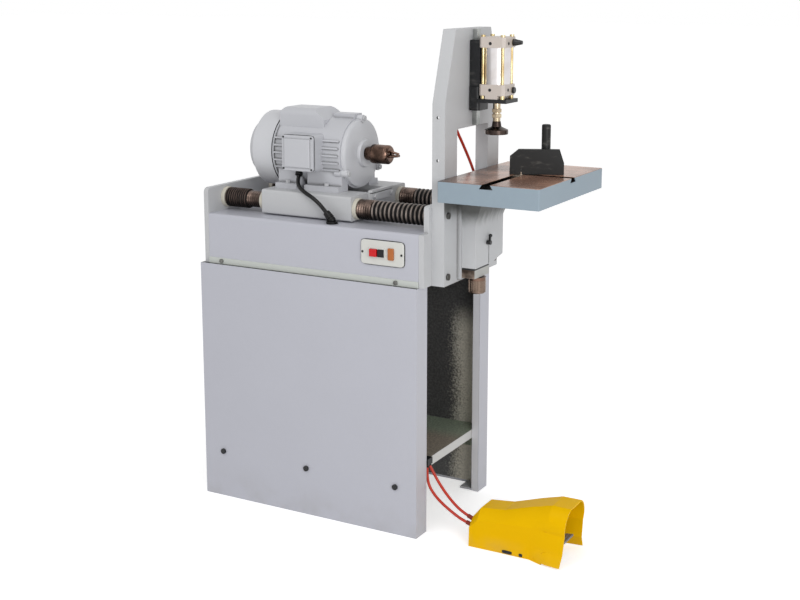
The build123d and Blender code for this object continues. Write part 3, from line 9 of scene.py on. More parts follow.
import json
import logging
from dataclasses import dataclass, replace
from enum import Enum
from math import cos, pi, radians, sin
from typing import Callable, Optional, Sequence, Union

import bmesh
import bpy
import numpy as np
from mathutils import Euler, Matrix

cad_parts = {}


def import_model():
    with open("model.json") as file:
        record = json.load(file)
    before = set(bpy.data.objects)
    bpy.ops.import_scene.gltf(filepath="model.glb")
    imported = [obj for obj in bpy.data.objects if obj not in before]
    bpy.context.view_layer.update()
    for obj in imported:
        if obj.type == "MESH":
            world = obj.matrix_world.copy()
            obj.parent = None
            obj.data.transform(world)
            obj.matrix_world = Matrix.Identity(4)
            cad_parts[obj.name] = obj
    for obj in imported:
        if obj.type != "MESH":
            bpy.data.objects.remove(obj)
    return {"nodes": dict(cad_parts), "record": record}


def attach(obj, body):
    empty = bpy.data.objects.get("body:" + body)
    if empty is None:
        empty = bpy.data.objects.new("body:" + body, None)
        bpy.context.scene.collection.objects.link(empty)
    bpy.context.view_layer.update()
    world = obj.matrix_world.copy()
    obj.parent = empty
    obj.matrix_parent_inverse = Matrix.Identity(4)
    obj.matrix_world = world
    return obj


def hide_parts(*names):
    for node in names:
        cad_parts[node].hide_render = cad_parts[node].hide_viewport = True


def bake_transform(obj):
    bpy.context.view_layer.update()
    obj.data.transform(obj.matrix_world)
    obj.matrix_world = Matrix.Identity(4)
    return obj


LOG = logging.getLogger("boring_machine")

Point = tuple[float, float, float]
Span = tuple[float, float]
Colour = tuple[float, float, float, float]
Ripple = Callable[[np.ndarray, np.ndarray], np.ndarray]


def srgb(red: int, green: int, blue: int) -> Colour:
    """Turn a screen colour into the linear colour that shaders use.

    Args:
        red: Red level from 0 to 255.
        green: Green level from 0 to 255.
        blue: Blue level from 0 to 255.

    Returns:
        The linear red, green and blue with an alpha of 1.
    """
    level = np.array((red, green, blue)) / 255.0
    linear = np.where(level <= 0.04045, level / 12.92, ((level + 0.055) / 1.055) ** 2.4)
    return (*(float(part) for part in linear), 1.0)


class Wire:
    """A shader socket that takes part in Python arithmetic, each operator adding a Math node."""

    def __init__(self, graph: Graph, socket: bpy.types.NodeSocket) -> None:
        """Keep the socket and the graph that holds it."""
        self.graph = graph
        self.socket = socket

    def __add__(self, other: Value) -> Wire:
        """Add another value."""
        return self.graph.math("ADD", self, other)

    __radd__ = __add__

    def __mul__(self, other: Value) -> Wire:
        """Multiply by another value."""
        return self.graph.math("MULTIPLY", self, other)

    __rmul__ = __mul__

    def __sub__(self, other: Value) -> Wire:
        """Take another value away."""
        return self.graph.math("SUBTRACT", self, other)

    def __rsub__(self, other: Value) -> Wire:
        """Take this value away from a number."""
        return self.graph.math("SUBTRACT", other, self)

    def __abs__(self) -> Wire:
        """Drop the sign."""
        return self.graph.math("ABSOLUTE", self, 0.0)

    def larger(self, other: Value) -> Wire:
        """Take the larger of two values."""
        return self.graph.math("MAXIMUM", self, other)

    def rise(self, low: float, high: float) -> Wire:
        """Go smoothly from 0 to 1.

        Args:
            low: Value up to which the result is 0.
            high: Value from which the result is 1.

        Returns:
            The smooth step.
        """
        sockets = {"Value": self, "From Min": low, "From Max": high}
        settings = {"interpolation_type": "SMOOTHSTEP"}
        return self.graph.wire("ShaderNodeMapRange", settings, sockets)


Value = Union[Wire, float]
Tint = Union[Wire, Colour]


class Graph:
    """The node tree of a material or of the world."""

    def __init__(self, owner: Union[bpy.types.Material, bpy.types.World]) -> None:
        """Start with the owner's tree emptied.

        Args:
            owner: The material or world.
        """
        owner.use_nodes = True
        self.tree = owner.node_tree
        self.tree.nodes.clear()

    def node(self, kind: str, settings: dict, sockets: dict) -> bpy.types.Node:
        """Add any node.

        Args:
            kind: The node's Blender type.
            settings: The node's own properties, which are set first.
            sockets: Values or wires for its inputs, by name or number.

        Returns:
            The new node.
        """
        made = self.tree.nodes.new(kind)
        for name, value in settings.items():
            setattr(made, name, value)
        for key, value in sockets.items():
            if isinstance(value, Wire):
                self.tree.links.new(value.socket, made.inputs[key])
            else:
                made.inputs[key].default_value = value
        return made

    def wire(self, kind: str, settings: dict, sockets: dict, output: Union[int, str] = 0) -> Wire:
        """Add any node and return one of its outputs as a wire."""
        return Wire(self, self.node(kind, settings, sockets).outputs[output])

    def math(self, operation: str, first: Value, second: Value) -> Wire:
        """Add a Math node on two values."""
        return self.wire("ShaderNodeMath", {"operation": operation}, {0: first, 1: second})

    def place(self) -> Wire:
        """Return the piece's own coordinates."""
        return self.wire("ShaderNodeTexCoord", {}, {}, "Object")

    def axes(self, place: Wire) -> list[Wire]:
        """Split coordinates into their X, Y and Z."""
        split = self.node("ShaderNodeSeparateXYZ", {}, {0: place})
        return [Wire(self, output) for output in split.outputs]

    def noise(self, place: Wire, scale: float, detail: float = 2.0, stretch: Point = (1, 1, 1)) -> Wire:
        """Return soft noise about 0.5, with features about 1 / scale across.

        Args:
            place: Coordinates that the noise follows.
            scale: Features in a metre.
            detail: Octaves of finer noise on top.
            stretch: Extra scale on each axis, for streaks and brushed lines.

        Returns:
            The noise value.
        """
        if stretch != (1, 1, 1):
            place = self.wire("ShaderNodeMapping", {}, {"Vector": place, "Scale": stretch})
        sockets = {"Vector": place, "Scale": scale, "Detail": detail}
        return self.wire("ShaderNodeTexNoise", {}, sockets)

    def mix(self, share: Value, first: Tint, second: Tint, method: str = "MIX") -> Wire:
        """Mix two colours by a share."""
        settings = {"data_type": "RGBA", "blend_type": method}
        return self.wire("ShaderNodeMix", settings, {0: share, 6: first, 7: second}, 2)

    def toned(self, colour: Tint, tone: Wire) -> Wire:
        """Multiply a colour by a tone near 1."""
        return self.mix(1.0, colour, tone, "MULTIPLY")

    def root(self, value: Wire) -> Wire:
        """Take the square root."""
        return self.math("SQRT", value, 0.0)

    def between(self, share: Wire, low: Value, high: Value) -> Value:
        """Go from a low value to a high one, or stay at the number that both have."""
        return low if low == high else low + share * (high - low)

    def crevice(self, reach: float) -> Wire:
        """Go from 0 on open faces towards 1 deep in the piece's own corners."""
        settings = {"only_local": True, "samples": 8}
        return 1.0 - self.wire("ShaderNodeAmbientOcclusion", settings, {"Distance": reach}, "AO")

    def seen(self) -> Wire:
        """Tell rays that show a background from those that light the machine.

        Returns:
            1 for rays from the camera, off a gloss or through glass, and 0 for others.
        """
        rays = self.node("ShaderNodeLightPath", {}, {})
        kinds = ("Camera", "Glossy", "Transmission")
        camera, gloss, glass = (Wire(self, rays.outputs[f"Is {kind} Ray"]) for kind in kinds)
        return camera.larger(gloss).larger(glass)

    def surface(self, layers: Layers) -> None:
        """End the graph in one shaded surface.

        Args:
            layers: What the surface shows.
        """
        bumped = {"Height": layers.height, "Distance": layers.bump, "Strength": 1.0}
        sockets = {
            "Base Color": layers.colour,
            "Roughness": layers.roughness,
            "Metallic": layers.metallic,
            "Specular IOR Level": layers.specular,
            "Normal": self.wire("ShaderNodeBump", {}, bumped),
        }
        if layers.glow is not None:
            sockets.update({"Emission Color": layers.glow, "Emission Strength": 1.0})
        shader = self.wire("ShaderNodeBsdfPrincipled", {}, sockets)
        self.node("ShaderNodeOutputMaterial", {}, {"Surface": shader})


@dataclass(frozen=True)
class Layers:
    """What a surface shows at each place: its height drives a bump of that depth in metres."""

    colour: Wire
    roughness: Value
    metallic: Value
    height: Wire
    bump: float
    specular: float = 0.5
    glow: Optional[Wire] = None


class Finish:
    """A finish that can be put on a piece."""

    def layers(self, graph: Graph, place: Wire) -> Layers:
        """Work out the finish at a place.

        Args:
            graph: The node tree to add to.
            place: Coordinates on the piece.

        Returns:
            What the surface shows there.
        """
        raise NotImplementedError

    def material(self, name: str) -> bpy.types.Material:
        """Build the finish as a material.

        Args:
            name: Name of the material.

        Returns:
            The new material.
        """
        material = bpy.data.materials.new(name)
        graph = Graph(material)
        graph.surface(self.layers(graph, graph.place()))
        return material


@dataclass(frozen=True)
class PaintFinish(Finish):
    """Sprayed workshop paint: mottling, orange peel, rubbed marks, corners darkened as grime and painted
    shade, and floor dust.
    """

    colour: Colour
    roughness: float = 0.42
    mottle: float = 0.05
    peel: float = 0.00006
    dust_height: float = 0.0
    scuffs: float = 0.0
    specular: float = 0.5
    grime_and_shade: float = 0.0
    corner: float = 0.014
    broad_scale: float = 5.0
    fine_scale: float = 90.0
    peel_scale: float = 520.0
    scuff_colour: Colour = srgb(158, 154, 148)
    dust_colour: Colour = srgb(146, 142, 132)
    grime_and_shade_colour: Colour = srgb(70, 69, 64)

    def layers(self, graph: Graph, place: Wire) -> Layers:
        """Work out the paint at a place.

        Args:
            graph: The node tree to add to.
            place: Coordinates on the piece.

        Returns:
            What the surface shows there.
        """
        broad = graph.noise(place, self.broad_scale, 3.0)
        fine = graph.noise(place, self.fine_scale, 4.0)
        tone = 1.0 + self.mottle * (broad - 0.5) + 0.6 * self.mottle * (fine - 0.5)
        colour = graph.toned(self.colour, tone)
        roughness = self.roughness + 0.14 * (fine - 0.5)
        if self.scuffs:
            rubbed = self.scuffs * graph.noise(place, 60.0, 7.0, (0.5, 0.5, 1.5)).rise(0.56, 0.78)
            colour = graph.mix(rubbed, colour, self.scuff_colour)
            roughness = roughness + 0.2 * rubbed
        if self.dust_height:
            low = 1.0 - graph.axes(place)[2].rise(0.0, self.dust_height)
            dust = 0.2 * low * graph.noise(place, 16.0, 5.0).rise(0.3, 0.8)
            colour = graph.mix(dust, colour, self.dust_colour)
            roughness = roughness + 0.3 * dust
        if self.grime_and_shade:
            # Painted shade and grime: ambient occlusion darkens the piece's own corners and crevices.
            dirt_and_shade = self.grime_and_shade * graph.crevice(self.corner).rise(0.1, 0.6) * (0.7 + 0.6 * fine)
            colour = graph.mix(dirt_and_shade, colour, self.grime_and_shade_colour)
            roughness = roughness + 0.2 * dirt_and_shade
        peel = graph.noise(place, self.peel_scale, 1.0)
        return Layers(colour, roughness, 0.0, peel, self.peel, self.specular)


@dataclass(frozen=True)
class PanelFinish(Finish):
    """Sheet panels: sprayed outside, speckled dark primer inside, a pool of painted light on the primer
    near the openings, and folded lips painted lighter as painted light.
    """

    paint: PaintFinish
    primer: Colour
    half_length: float
    half_depth: float
    lip_length: float = 1.0
    lip_depth: float = 0.0
    foot: float = 0.0065
    step: float = 0.0004
    primer_roughness: float = 0.4
    speckle_scale: float = 170.0
    cloud_scale: float = 7.0
    pooled_light: Colour = srgb(210, 206, 192)
    pooled_light_share: float = 0.85
    pooled_light_start: Span = (0.215, 0.275)
    pooled_light_top: Span = (0.46, 0.56)
    lit_lip_colour: Colour = srgb(222, 223, 229)

    def layers(self, graph: Graph, place: Wire) -> Layers:
        """Work out the paint, or inside the folds the primer.

        Args:
            graph: The node tree to add to.
            place: Coordinates on the piece.

        Returns:
            What the surface shows there.
        """
        outer = self.paint.layers(graph, place)
        x, y, z = graph.axes(place)
        within = 1.0 - abs(x).rise(self.half_length, self.half_length + self.step)
        within = within * (1.0 - abs(y).rise(self.half_depth, self.half_depth + self.step))
        lip = abs(x).rise(self.lip_length, self.lip_length + self.step)
        lip = lip * (1.0 - abs(y).rise(self.lip_depth, self.lip_depth + self.step))
        inside = within * (1.0 - lip) * z.rise(self.foot, self.foot + self.step)
        speckle = graph.noise(place, self.speckle_scale, 4.0)
        cloud = graph.noise(place, self.cloud_scale, 5.0)
        # Painted light: a pool of lighter colour on the primer near the open ends, fading out towards the
        # top.
        ragged = abs(x) + 0.05 * (cloud - 0.5) + 0.08 * (speckle - 0.5)
        pooled_light_mask = self.pooled_light_share * ragged.rise(*self.pooled_light_start) * (1.0 - z.rise(*self.pooled_light_top))
        primer = graph.toned(self.primer, 0.4 + 0.3 * cloud + 0.6 * speckle.rise(0.32, 0.72))
        lining = graph.mix(pooled_light_mask, primer, graph.toned(self.pooled_light, 0.6 + 0.8 * speckle))
        # Painted light: the folded lips are painted lighter than the outer paint.
        painted = graph.mix(within * lip, outer.colour, self.lit_lip_colour)
        colour = graph.mix(inside, painted, lining)
        hammered = self.primer_roughness + 0.3 * (speckle - 0.5)
        roughness = graph.between(inside, outer.roughness, hammered)
        return Layers(colour, roughness, 0.0, outer.height, outer.bump)


@dataclass(frozen=True)
class ShadowAndGrimeBandFinish(Finish):
    """Paint with a streaked band of painted shadow and grime at a level, on the faces past an X."""

    paint: PaintFinish
    band: tuple[float, float, float]
    face: float
    grime_and_shade: Colour = srgb(56, 57, 51)
    share: float = 0.86
    step: float = 0.0006
    streak_scale: float = 90.0
    wander: float = 0.03
    fade: float = 0.01

    def layers(self, graph: Graph, place: Wire) -> Layers:
        """Work out the paint and the painted shadow and grime on it, which grows from the band's start to
        its middle.

        Args:
            graph: The node tree to add to.
            place: Coordinates on the piece.

        Returns:
            What the surface shows there.
        """
        paint = self.paint.layers(graph, place)
        x, _, z = graph.axes(place)
        start, full, end = self.band
        streaks = graph.noise(place, self.streak_scale, 4.0, (0.3, 1.0, 0.2))
        # Painted shadow with grime streaks: darker from the band's start up towards the table above.
        dirt_and_shade = (z + self.wander * (streaks - 0.5)).rise(start, full)
        dirt_and_shade = dirt_and_shade * (1.0 - z.rise(end, end + self.fade))
        dirt_and_shade = self.share * dirt_and_shade * x.rise(self.face, self.face + self.step)
        colour = graph.mix(dirt_and_shade, paint.colour, self.grime_and_shade)
        return replace(paint, colour=colour, roughness=paint.roughness + 0.15 * dirt_and_shade)


@dataclass(frozen=True)
class MetalFinish(Finish):
    """Bare machined metal with tool lines across one direction and handling stains."""

    colour: Colour
    stain: Colour
    roughness: float = 0.3
    lines: Point = (1, 1, 1)
    line_depth: float = 0.00003
    stain_share: float = 0.5
    line_tone: float = 0.36
    line_scale: float = 60.0
    cloud_scale: float = 24.0

    def layers(self, graph: Graph, place: Wire) -> Layers:
        """Work out the bare metal at a place.

        Args:
            graph: The node tree to add to.
            place: Coordinates on the piece.

        Returns:
            What the surface shows there.
        """
        lines = graph.noise(place, self.line_scale, 3.0, self.lines)
        cloud = graph.noise(place, self.cloud_scale, 4.0)
        stained = self.stain_share * cloud.rise(0.42, 0.66)
        colour = graph.mix(stained, self.colour, self.stain)
        colour = graph.toned(colour, 1.0 - self.line_tone / 2 + self.line_tone * lines)
        roughness = self.roughness + 0.2 * (lines - 0.5) + 0.12 * stained
        return Layers(colour, roughness, 1.0, lines, self.line_depth)


@dataclass(frozen=True)
class MouldedFinish(Finish):
    """Moulded plastic or rubber with a fine grain and a little wear."""

    colour: Colour
    roughness: float = 0.5
    grain: float = 0.00005
    grain_scale: float = 700.0
    bloom: float = 0.12
    bloom_scale: float = 30.0
    specular: float = 0.35

    def layers(self, graph: Graph, place: Wire) -> Layers:
        """Work out the moulding at a place.

        Args:
            graph: The node tree to add to.
            place: Coordinates on the piece.

        Returns:
            What the surface shows there.
        """
        bloom = graph.noise(place, self.bloom_scale, 4.0)
        grain = graph.noise(place, self.grain_scale, 2.0)
        colour = graph.toned(self.colour, 1.0 + self.bloom * (bloom - 0.5) + 0.1 * (grain - 0.5))
        roughness = self.roughness + 0.2 * (bloom - 0.5)
        return Layers(colour, roughness, 0.0, grain, self.grain, self.specular)


@dataclass(frozen=True)
class BellowsFinish(Finish):
    """Ribbed rubber round the guide bars: grooves painted black as shade, crests painted lighter as rubbed
    rubber with a painted highlight, painted shade on the underside, and left crests painted darker as
    shaded.
    """

    groove_shade: Colour
    shaded_left_crest: Colour
    lit_right_crest: Colour
    bar_y: float
    bar_z: float
    groove_radius: float
    crest_radius: float
    underside_shade: Span = (-0.021, 0.002)
    underside_shade_share: float = 0.9
    middle: Span = (-0.1, 0.1)
    scuff_scale: float = 45.0
    grain: float = 0.00005
    grain_scale: float = 800.0
    specular: float = 0.2

    def layers(self, graph: Graph, place: Wire) -> Layers:
        """Work out the rubber from the distance to the nearer bar's axis.

        Args:
            graph: The node tree to add to.
            place: Coordinates on the piece.

        Returns:
            What the surface shows there.
        """
        x, y, z = graph.axes(place)
        across, up = abs(y) - self.bar_y, z - self.bar_z
        radius = graph.root(across * across + up * up)
        # Grooves painted dark as shade, crests lighter as worn rubber and painted highlight; the underside
        # gets painted shade and the left crests are darker as shaded.
        rubbed = radius.rise(self.groove_radius, self.crest_radius)
        unshaded = 1.0 - self.underside_shade_share + self.underside_shade_share * up.rise(*self.underside_shade)
        crest = graph.mix(x.rise(*self.middle), self.shaded_left_crest, self.lit_right_crest)
        scuff = graph.noise(place, self.scuff_scale, 4.0, (3.0, 1.0, 1.0))
        grain = graph.noise(place, self.grain_scale, 2.0)
        colour = graph.mix(rubbed * unshaded * scuff.rise(0.1, 0.7), self.groove_shade, crest)
        roughness = 0.55 - 0.28 * rubbed + 0.2 * (scuff - 0.5)
        return Layers(colour, roughness, 0.0, grain, self.grain, self.specular)


@dataclass(frozen=True)
class TableFinish(Finish):
    """A cast table: ground bare top and slots, painted sides and underside, slots painted near black as
    oil and painted shade, and dark blotches near the low-X end as a painted reflection of the column.
    """

    side: Colour
    top: Colour
    stain: Colour
    oil_shade_and_reflection: Colour
    low: Point
    high: Point
    skin: float = 0.0006
    rim: float = 0.0016
    reflection_reach: float = 0.11
    metal: float = 0.3
    slot_floor: Span = (0.015, 0.016)
    line_scale: float = 50.0
    cloud_scale: float = 9.0
    mottle_scale: float = 70.0
    grain: float = 0.00002
    specular: float = 0.3

    def layers(self, graph: Graph, place: Wire) -> Layers:
        """Work out which of the two finishes a place has.

        Args:
            graph: The node tree to add to.
            place: Coordinates on the piece.

        Returns:
            What the surface shows there.
        """
        x, y, z = graph.axes(place)
        inner = 1.0
        for axis, low, high in ((x, self.low[0], self.high[0]), (y, self.low[1], self.high[1])):
            middle, half = (low + high) / 2, (high - low) / 2
            inner = inner * (1.0 - abs(axis - middle).rise(half - 2 * self.rim, half - self.rim))
        depth = self.high[2] - z
        top = 1.0 - depth.rise(self.skin, 2 * self.skin)
        above = 1.0 - depth.rise(*self.slot_floor)
        bare = (above * inner).larger(top)
        lines = graph.noise(place, self.line_scale, 3.0, (0.25, 14.0, 1.0))
        cloud = graph.noise(place, self.cloud_scale, 5.0)
        ground = graph.mix(cloud.rise(0.36, 0.68), self.top, self.stain)
        ground = graph.toned(ground, 0.85 + 0.3 * lines)
        # Painted reflection: dark oily blotches near the low-X end stand for the column reflected in the
        # top.
        column_reflection = 1.0 - x.rise(self.low[0], self.low[0] + self.reflection_reach)
        ground = graph.mix(0.8 * column_reflection * cloud.rise(0.2, 0.6), ground, self.oil_shade_and_reflection)
        # The slots below the top are painted near black as oil and painted shade.
        ground = graph.mix(1.0 - top, ground, self.oil_shade_and_reflection)
        mottle = graph.noise(place, self.mottle_scale, 4.0)
        paint = graph.toned(self.side, 0.97 + 0.06 * mottle)
        colour = graph.mix(bare, paint, ground)
        shine = 0.2 - 0.16 * (lines - 0.5) - 0.1 * (cloud - 0.5)
        roughness = 0.45 + 0.1 * (mottle - 0.5) - bare * shine
        height = mottle + bare * (lines - mottle)
        metallic = self.metal * bare * top
        return Layers(colour, roughness, metallic, height, self.grain, self.specular)


class Axis(Enum):
    """An axis of the machine's frame."""

    X = 0
    Y = 1
    Z = 2


@dataclass(frozen=True)
class SplitFinish(Finish):
    """One finish below a level on an axis and another above it."""

    below: Finish
    above: Finish
    axis: Axis
    level: float
    step: float = 0.0004

    def layers(self, graph: Graph, place: Wire) -> Layers:
        """Mix the two finishes over the step.

        Args:
            graph: The node tree to add to.
            place: Coordinates on the piece.

        Returns:
            What the surface shows there.
        """
        low, high = self.below.layers(graph, place), self.above.layers(graph, place)
        share = graph.axes(place)[self.axis.value].rise(self.level, self.level + self.step)
        return Layers(
            graph.mix(share, low.colour, high.colour),
            graph.between(share, low.roughness, high.roughness),
            graph.between(share, low.metallic, high.metallic),
            graph.between(share, low.height, high.height),
            max(low.bump, high.bump),
            low.specular,
        )


NO_POOLED_LIGHT = (0.9, 1.0)
RING_LINES = (9.0, 0.6, 0.6)
POST_LINES = (0.6, 0.6, 9.0)
SHEET_PAINT = PaintFinish(srgb(189, 190, 199), dust_height=0.12)
SHELF_PAINT = PaintFinish(srgb(206, 207, 206))
CAST_PAINT = PaintFinish(srgb(193, 194, 196), 0.45, peel=0.00010, grime_and_shade=0.6)
BLACK_PAINT = PaintFinish(srgb(26, 27, 29), 0.36, 0.2, scuffs=0.12, specular=0.35)
PALE_GOLD = MetalFinish(srgb(216, 198, 152), srgb(150, 118, 70), 0.28, POST_LINES)
DARK_BRONZE = MetalFinish(
    srgb(118, 94, 82), srgb(26, 20, 17), 0.2, RING_LINES, stain_share=0.75, line_tone=0.7
)
ZINC = MetalFinish(srgb(120, 120, 117), srgb(50, 48, 46), 0.34)
BLACK_MOULDING = MouldedFinish(srgb(14, 14, 15), 0.36, specular=0.2)


class Coat(Enum):
    """The finishes of the machine, by what they cover."""

    PANEL = PanelFinish(SHEET_PAINT, srgb(80, 80, 80), 0.3484, 0.2184, 0.327, 0.170)
    SHELF = SplitFinish(
        PanelFinish(SHELF_PAINT, srgb(158, 147, 132), 0.3256, 0.30, pooled_light_start=NO_POOLED_LIGHT),
        PanelFinish(SHELF_PAINT, srgb(152, 164, 144), 0.3256, 0.30, pooled_light_start=NO_POOLED_LIGHT),
        Axis.Y,
        0.05,
        0.09,
    )
    BED = SplitFinish(PaintFinish(srgb(198, 202, 197)), SHEET_PAINT, Axis.Z, 0.7072)
    CASTING = CAST_PAINT
    # Painted shadow below the table, streaked like grime, on the column and the knee.
    COLUMN = ShadowAndGrimeBandFinish(CAST_PAINT, (0.856, 0.900, 0.930), 0.3985)
    KNEE = ShadowAndGrimeBandFinish(CAST_PAINT, (0.834, 0.884, 0.960), 0.3985)
    SCREWS = SplitFinish(BLACK_PAINT, ZINC, Axis.Z, 0.6)
    MOTOR = PaintFinish(srgb(194, 195, 200), 0.36, grime_and_shade=0.75)
    # Painted light: the drive-end bell and the fan cover are painted lighter than the frame.
    MOTOR_ENDS = PaintFinish(srgb(206, 207, 211), 0.35, grime_and_shade=0.6)
    PEDAL = PaintFinish(srgb(240, 188, 0), 0.42, 0.06, 0.00004, 0.05, specular=0.05)
    BLACK = BLACK_PAINT
    FENCE = PaintFinish(srgb(23, 23, 23), 0.42, 0.25, 0.00016, scuffs=0.24, specular=0.3)
    RAIL = MetalFinish(srgb(168, 170, 168), srgb(104, 108, 104), 0.36, POST_LINES)
    TURNED = MetalFinish(srgb(156, 130, 116), srgb(70, 52, 44), 0.2, RING_LINES)
    CHUCK = DARK_BRONZE
    POST = SplitFinish(
        MetalFinish(srgb(124, 107, 95), srgb(52, 42, 36), 0.28, POST_LINES),
        DARK_BRONZE,
        Axis.Z,
        0.690,
    )
    BAR = MetalFinish(srgb(196, 192, 188), srgb(140, 132, 126), 0.16, RING_LINES, 0.00001)
    # Lit and shaded copies: bronze metal for the shaded front, pale paint for the lit +X face, and the top
    # painted black as the shadow under the knee.
    BRACKET = SplitFinish(
        SplitFinish(
            MetalFinish(srgb(150, 134, 122), srgb(44, 34, 28), 0.34, (3, 1, 1), stain_share=0.85),
            PaintFinish(srgb(176, 176, 172), 0.45, 0.3, scuffs=0.3),
            Axis.X,
            0.4494,
        ),
        BLACK_PAINT,
        Axis.Z,
        0.7235,
    )
    # Painted shade on the lower half of the cuffs and a lighter copy on the upper half as painted
    # highlight.
    CUFF = SplitFinish(
        MetalFinish(srgb(34, 29, 27), srgb(14, 12, 11), 0.3, RING_LINES, 0.00002, 0.75),
        MetalFinish(srgb(128, 110, 101), srgb(30, 25, 23), 0.22, RING_LINES, 0.00002, 0.75),
        Axis.Z,
        0.846,
        0.026,
    )
    FENCE_BAR = SplitFinish(
        MetalFinish(srgb(206, 192, 176), srgb(140, 118, 98), 0.3, (1, 6, 1)),
        BLACK_PAINT,
        Axis.Z,
        0.984,
    )
    GOLD = SplitFinish(PALE_GOLD, BLACK_PAINT, Axis.X, 0.5064)
    ROD = MetalFinish(srgb(216, 200, 172), srgb(118, 92, 64), 0.18, POST_LINES)
    PAD = MetalFinish(srgb(76, 65, 60), srgb(20, 18, 18), 0.26, POST_LINES)
    ALLOY = MetalFinish(srgb(232, 230, 236), srgb(208, 204, 210), 0.36, POST_LINES)
    BARREL = MetalFinish(srgb(224, 220, 220), srgb(196, 186, 176), 0.3, (1, 1, 2), 0.00001, 0.3, 0.08)
    CREAM = PaintFinish(srgb(206, 201, 187), 0.5, 0.08)
    CAP = PaintFinish(srgb(200, 190, 182), 0.4, 0.08)
    # Grooves painted near black as shade; left crests darker as shaded, right crests lighter as lit.
    BELLOWS = BellowsFinish(
        srgb(6, 5, 5), srgb(92, 76, 69), srgb(160, 147, 139), 0.120, 0.868, 0.0250, 0.0282
    )
    HOSE = MouldedFinish(srgb(190, 52, 32), 0.34, 0.00002, bloom=0.2)
    CABLE = MouldedFinish(srgb(11, 11, 12), 0.26, specular=0.25)
    FITTING = BLACK_MOULDING
    LINE_ENDS = SplitFinish(BLACK_MOULDING, MouldedFinish(srgb(132, 44, 30), 0.34), Axis.X, 0.43)
    STOP = MouldedFinish(srgb(206, 16, 24), 0.3)
    START = MouldedFinish(srgb(14, 14, 16), 0.32)
    TREAD = PaintFinish(srgb(120, 122, 128), 0.5, 0.2, 0.0002, scuffs=0.3)
    AMBER = MouldedFinish(srgb(178, 104, 52), 0.34)
    PLATE = PaintFinish(srgb(212, 212, 207), 0.36, 0.04)
    TABLE = TableFinish(
        srgb(146, 161, 172),
        srgb(194, 150, 126),
        srgb(138, 102, 84),
        srgb(16, 14, 13),
        (0.402, -0.209, 0.922),
        (0.684, 0.224, 0.977),
    )

    def material(self) -> bpy.types.Material:
        """Return this coat's material, built once."""
        name = self.name.lower()
        return bpy.data.materials.get(name) or self.value.material(name)


class Edge(Enum):
    """How wide a sharp edge is rounded, in metres, by how the piece is made."""

    GROUND = 0.0004
    TURNED = 0.0006
    PRESSED = 0.0008
    CUT = 0.0010
    PLATE = 0.0012
    WORN = 0.0014
    CAST = 0.0015
    FOLDED = 0.0016
    HEAVY = 0.0018
    FORGED = 0.0022


FRONT: Point = (0.0, -1.0, 0.0)
RIGHT: Point = (1.0, 0.0, 0.0)


def grid_mesh(name: str, grid: np.ndarray, wrap_rows: bool, wrap_columns: bool) -> bpy.types.Mesh:
    """Put a grid of points into a mesh of quads that point outwards.

    A quad joins points (r, c), (r, c + 1), (r + 1, c + 1) and (r + 1, c). The order is turned round
    where the volume, a sum of p0 . (p1 x p2) / 6 over the triangles, comes out negative.

    Args:
        name: Name of the mesh.
        grid: Points as an array of rows, columns and three coordinates.
        wrap_rows: True where the last row joins the first.
        wrap_columns: True where the last column joins the first.

    Returns:
        The mesh, with doubled points at poles merged and smooth shading.
    """
    rows, columns = grid.shape[:2]
    row = np.arange(rows if wrap_rows else rows - 1)
    column = np.arange(columns if wrap_columns else columns - 1)
    r0, c0 = np.meshgrid(row, column, indexing="ij")
    r1, c1 = (r0 + 1) % rows, (c0 + 1) % columns
    corners = [r0 * columns + c0, r0 * columns + c1, r1 * columns + c1, r1 * columns + c0]
    quads = np.stack(corners, -1).reshape(-1, 4)
    points = grid.reshape(-1, 3)
    centred = points - points.mean(axis=0)
    p0, p1, p2, p3 = (centred[quads[:, corner]] for corner in range(4))
    volume = np.einsum("ij,ij->", p0, np.cross(p1, p2)) + np.einsum("ij,ij->", p0, np.cross(p2, p3))
    if volume < 0:
        quads = quads[:, ::-1]
    mesh = bpy.data.meshes.new(name)
    mesh.from_pydata(points.tolist(), [], quads.tolist())
    body = bmesh.new()
    body.from_mesh(mesh)
    bmesh.ops.remove_doubles(body, verts=body.verts, dist=1e-6)
    bmesh.ops.dissolve_degenerate(body, edges=body.edges, dist=1e-7)
    body.to_mesh(mesh)
    body.free()
    mesh.shade_smooth()
    return mesh


@dataclass(frozen=True)
class Turning:
    """A surface of revolution about an axis through a point."""

    origin: Point
    axis: Point = RIGHT
    segments: int = 72

    def mesh(self, name: str, profile: np.ndarray, ripple: Optional[Ripple] = None) -> bpy.types.Mesh:
        """Spin a closed profile.

        A profile point (s, r) at angle t goes to origin + s * axis + r * (cos t * u + sin t * v),
        where u and v are square to the axis.

        Args:
            name: Name of the mesh.
            profile: Rows of (distance along the axis, radius), a loop or a line from axis to axis.
            ripple: Factor on the radius for each row and angle, for flats and knurls.

        Returns:
            The closed mesh.
        """
        axis = np.array(self.axis, float) / np.linalg.norm(self.axis)
        side = np.array((0.0, 0.0, 1.0)) if abs(axis[2]) < 0.9 else np.array((1.0, 0.0, 0.0))
        u = np.cross(axis, side)
        u /= np.linalg.norm(u)
        v = np.cross(axis, u)
        angle = np.linspace(0, 2 * pi, self.segments, endpoint=False)
        along, radius = profile[:, :1], profile[:, 1:2] * np.ones((1, self.segments))
        if ripple is not None:
            radius = radius * ripple(profile, angle[None, :])
        spoke = np.cos(angle)[None, :, None] * u + np.sin(angle)[None, :, None] * v
        grid = np.array(self.origin) + along[:, :, None] * axis + radius[:, :, None] * spoke
        ring = profile[0, 1] > 0 or profile[-1, 1] > 0
        return grid_mesh(name, grid, ring, True)


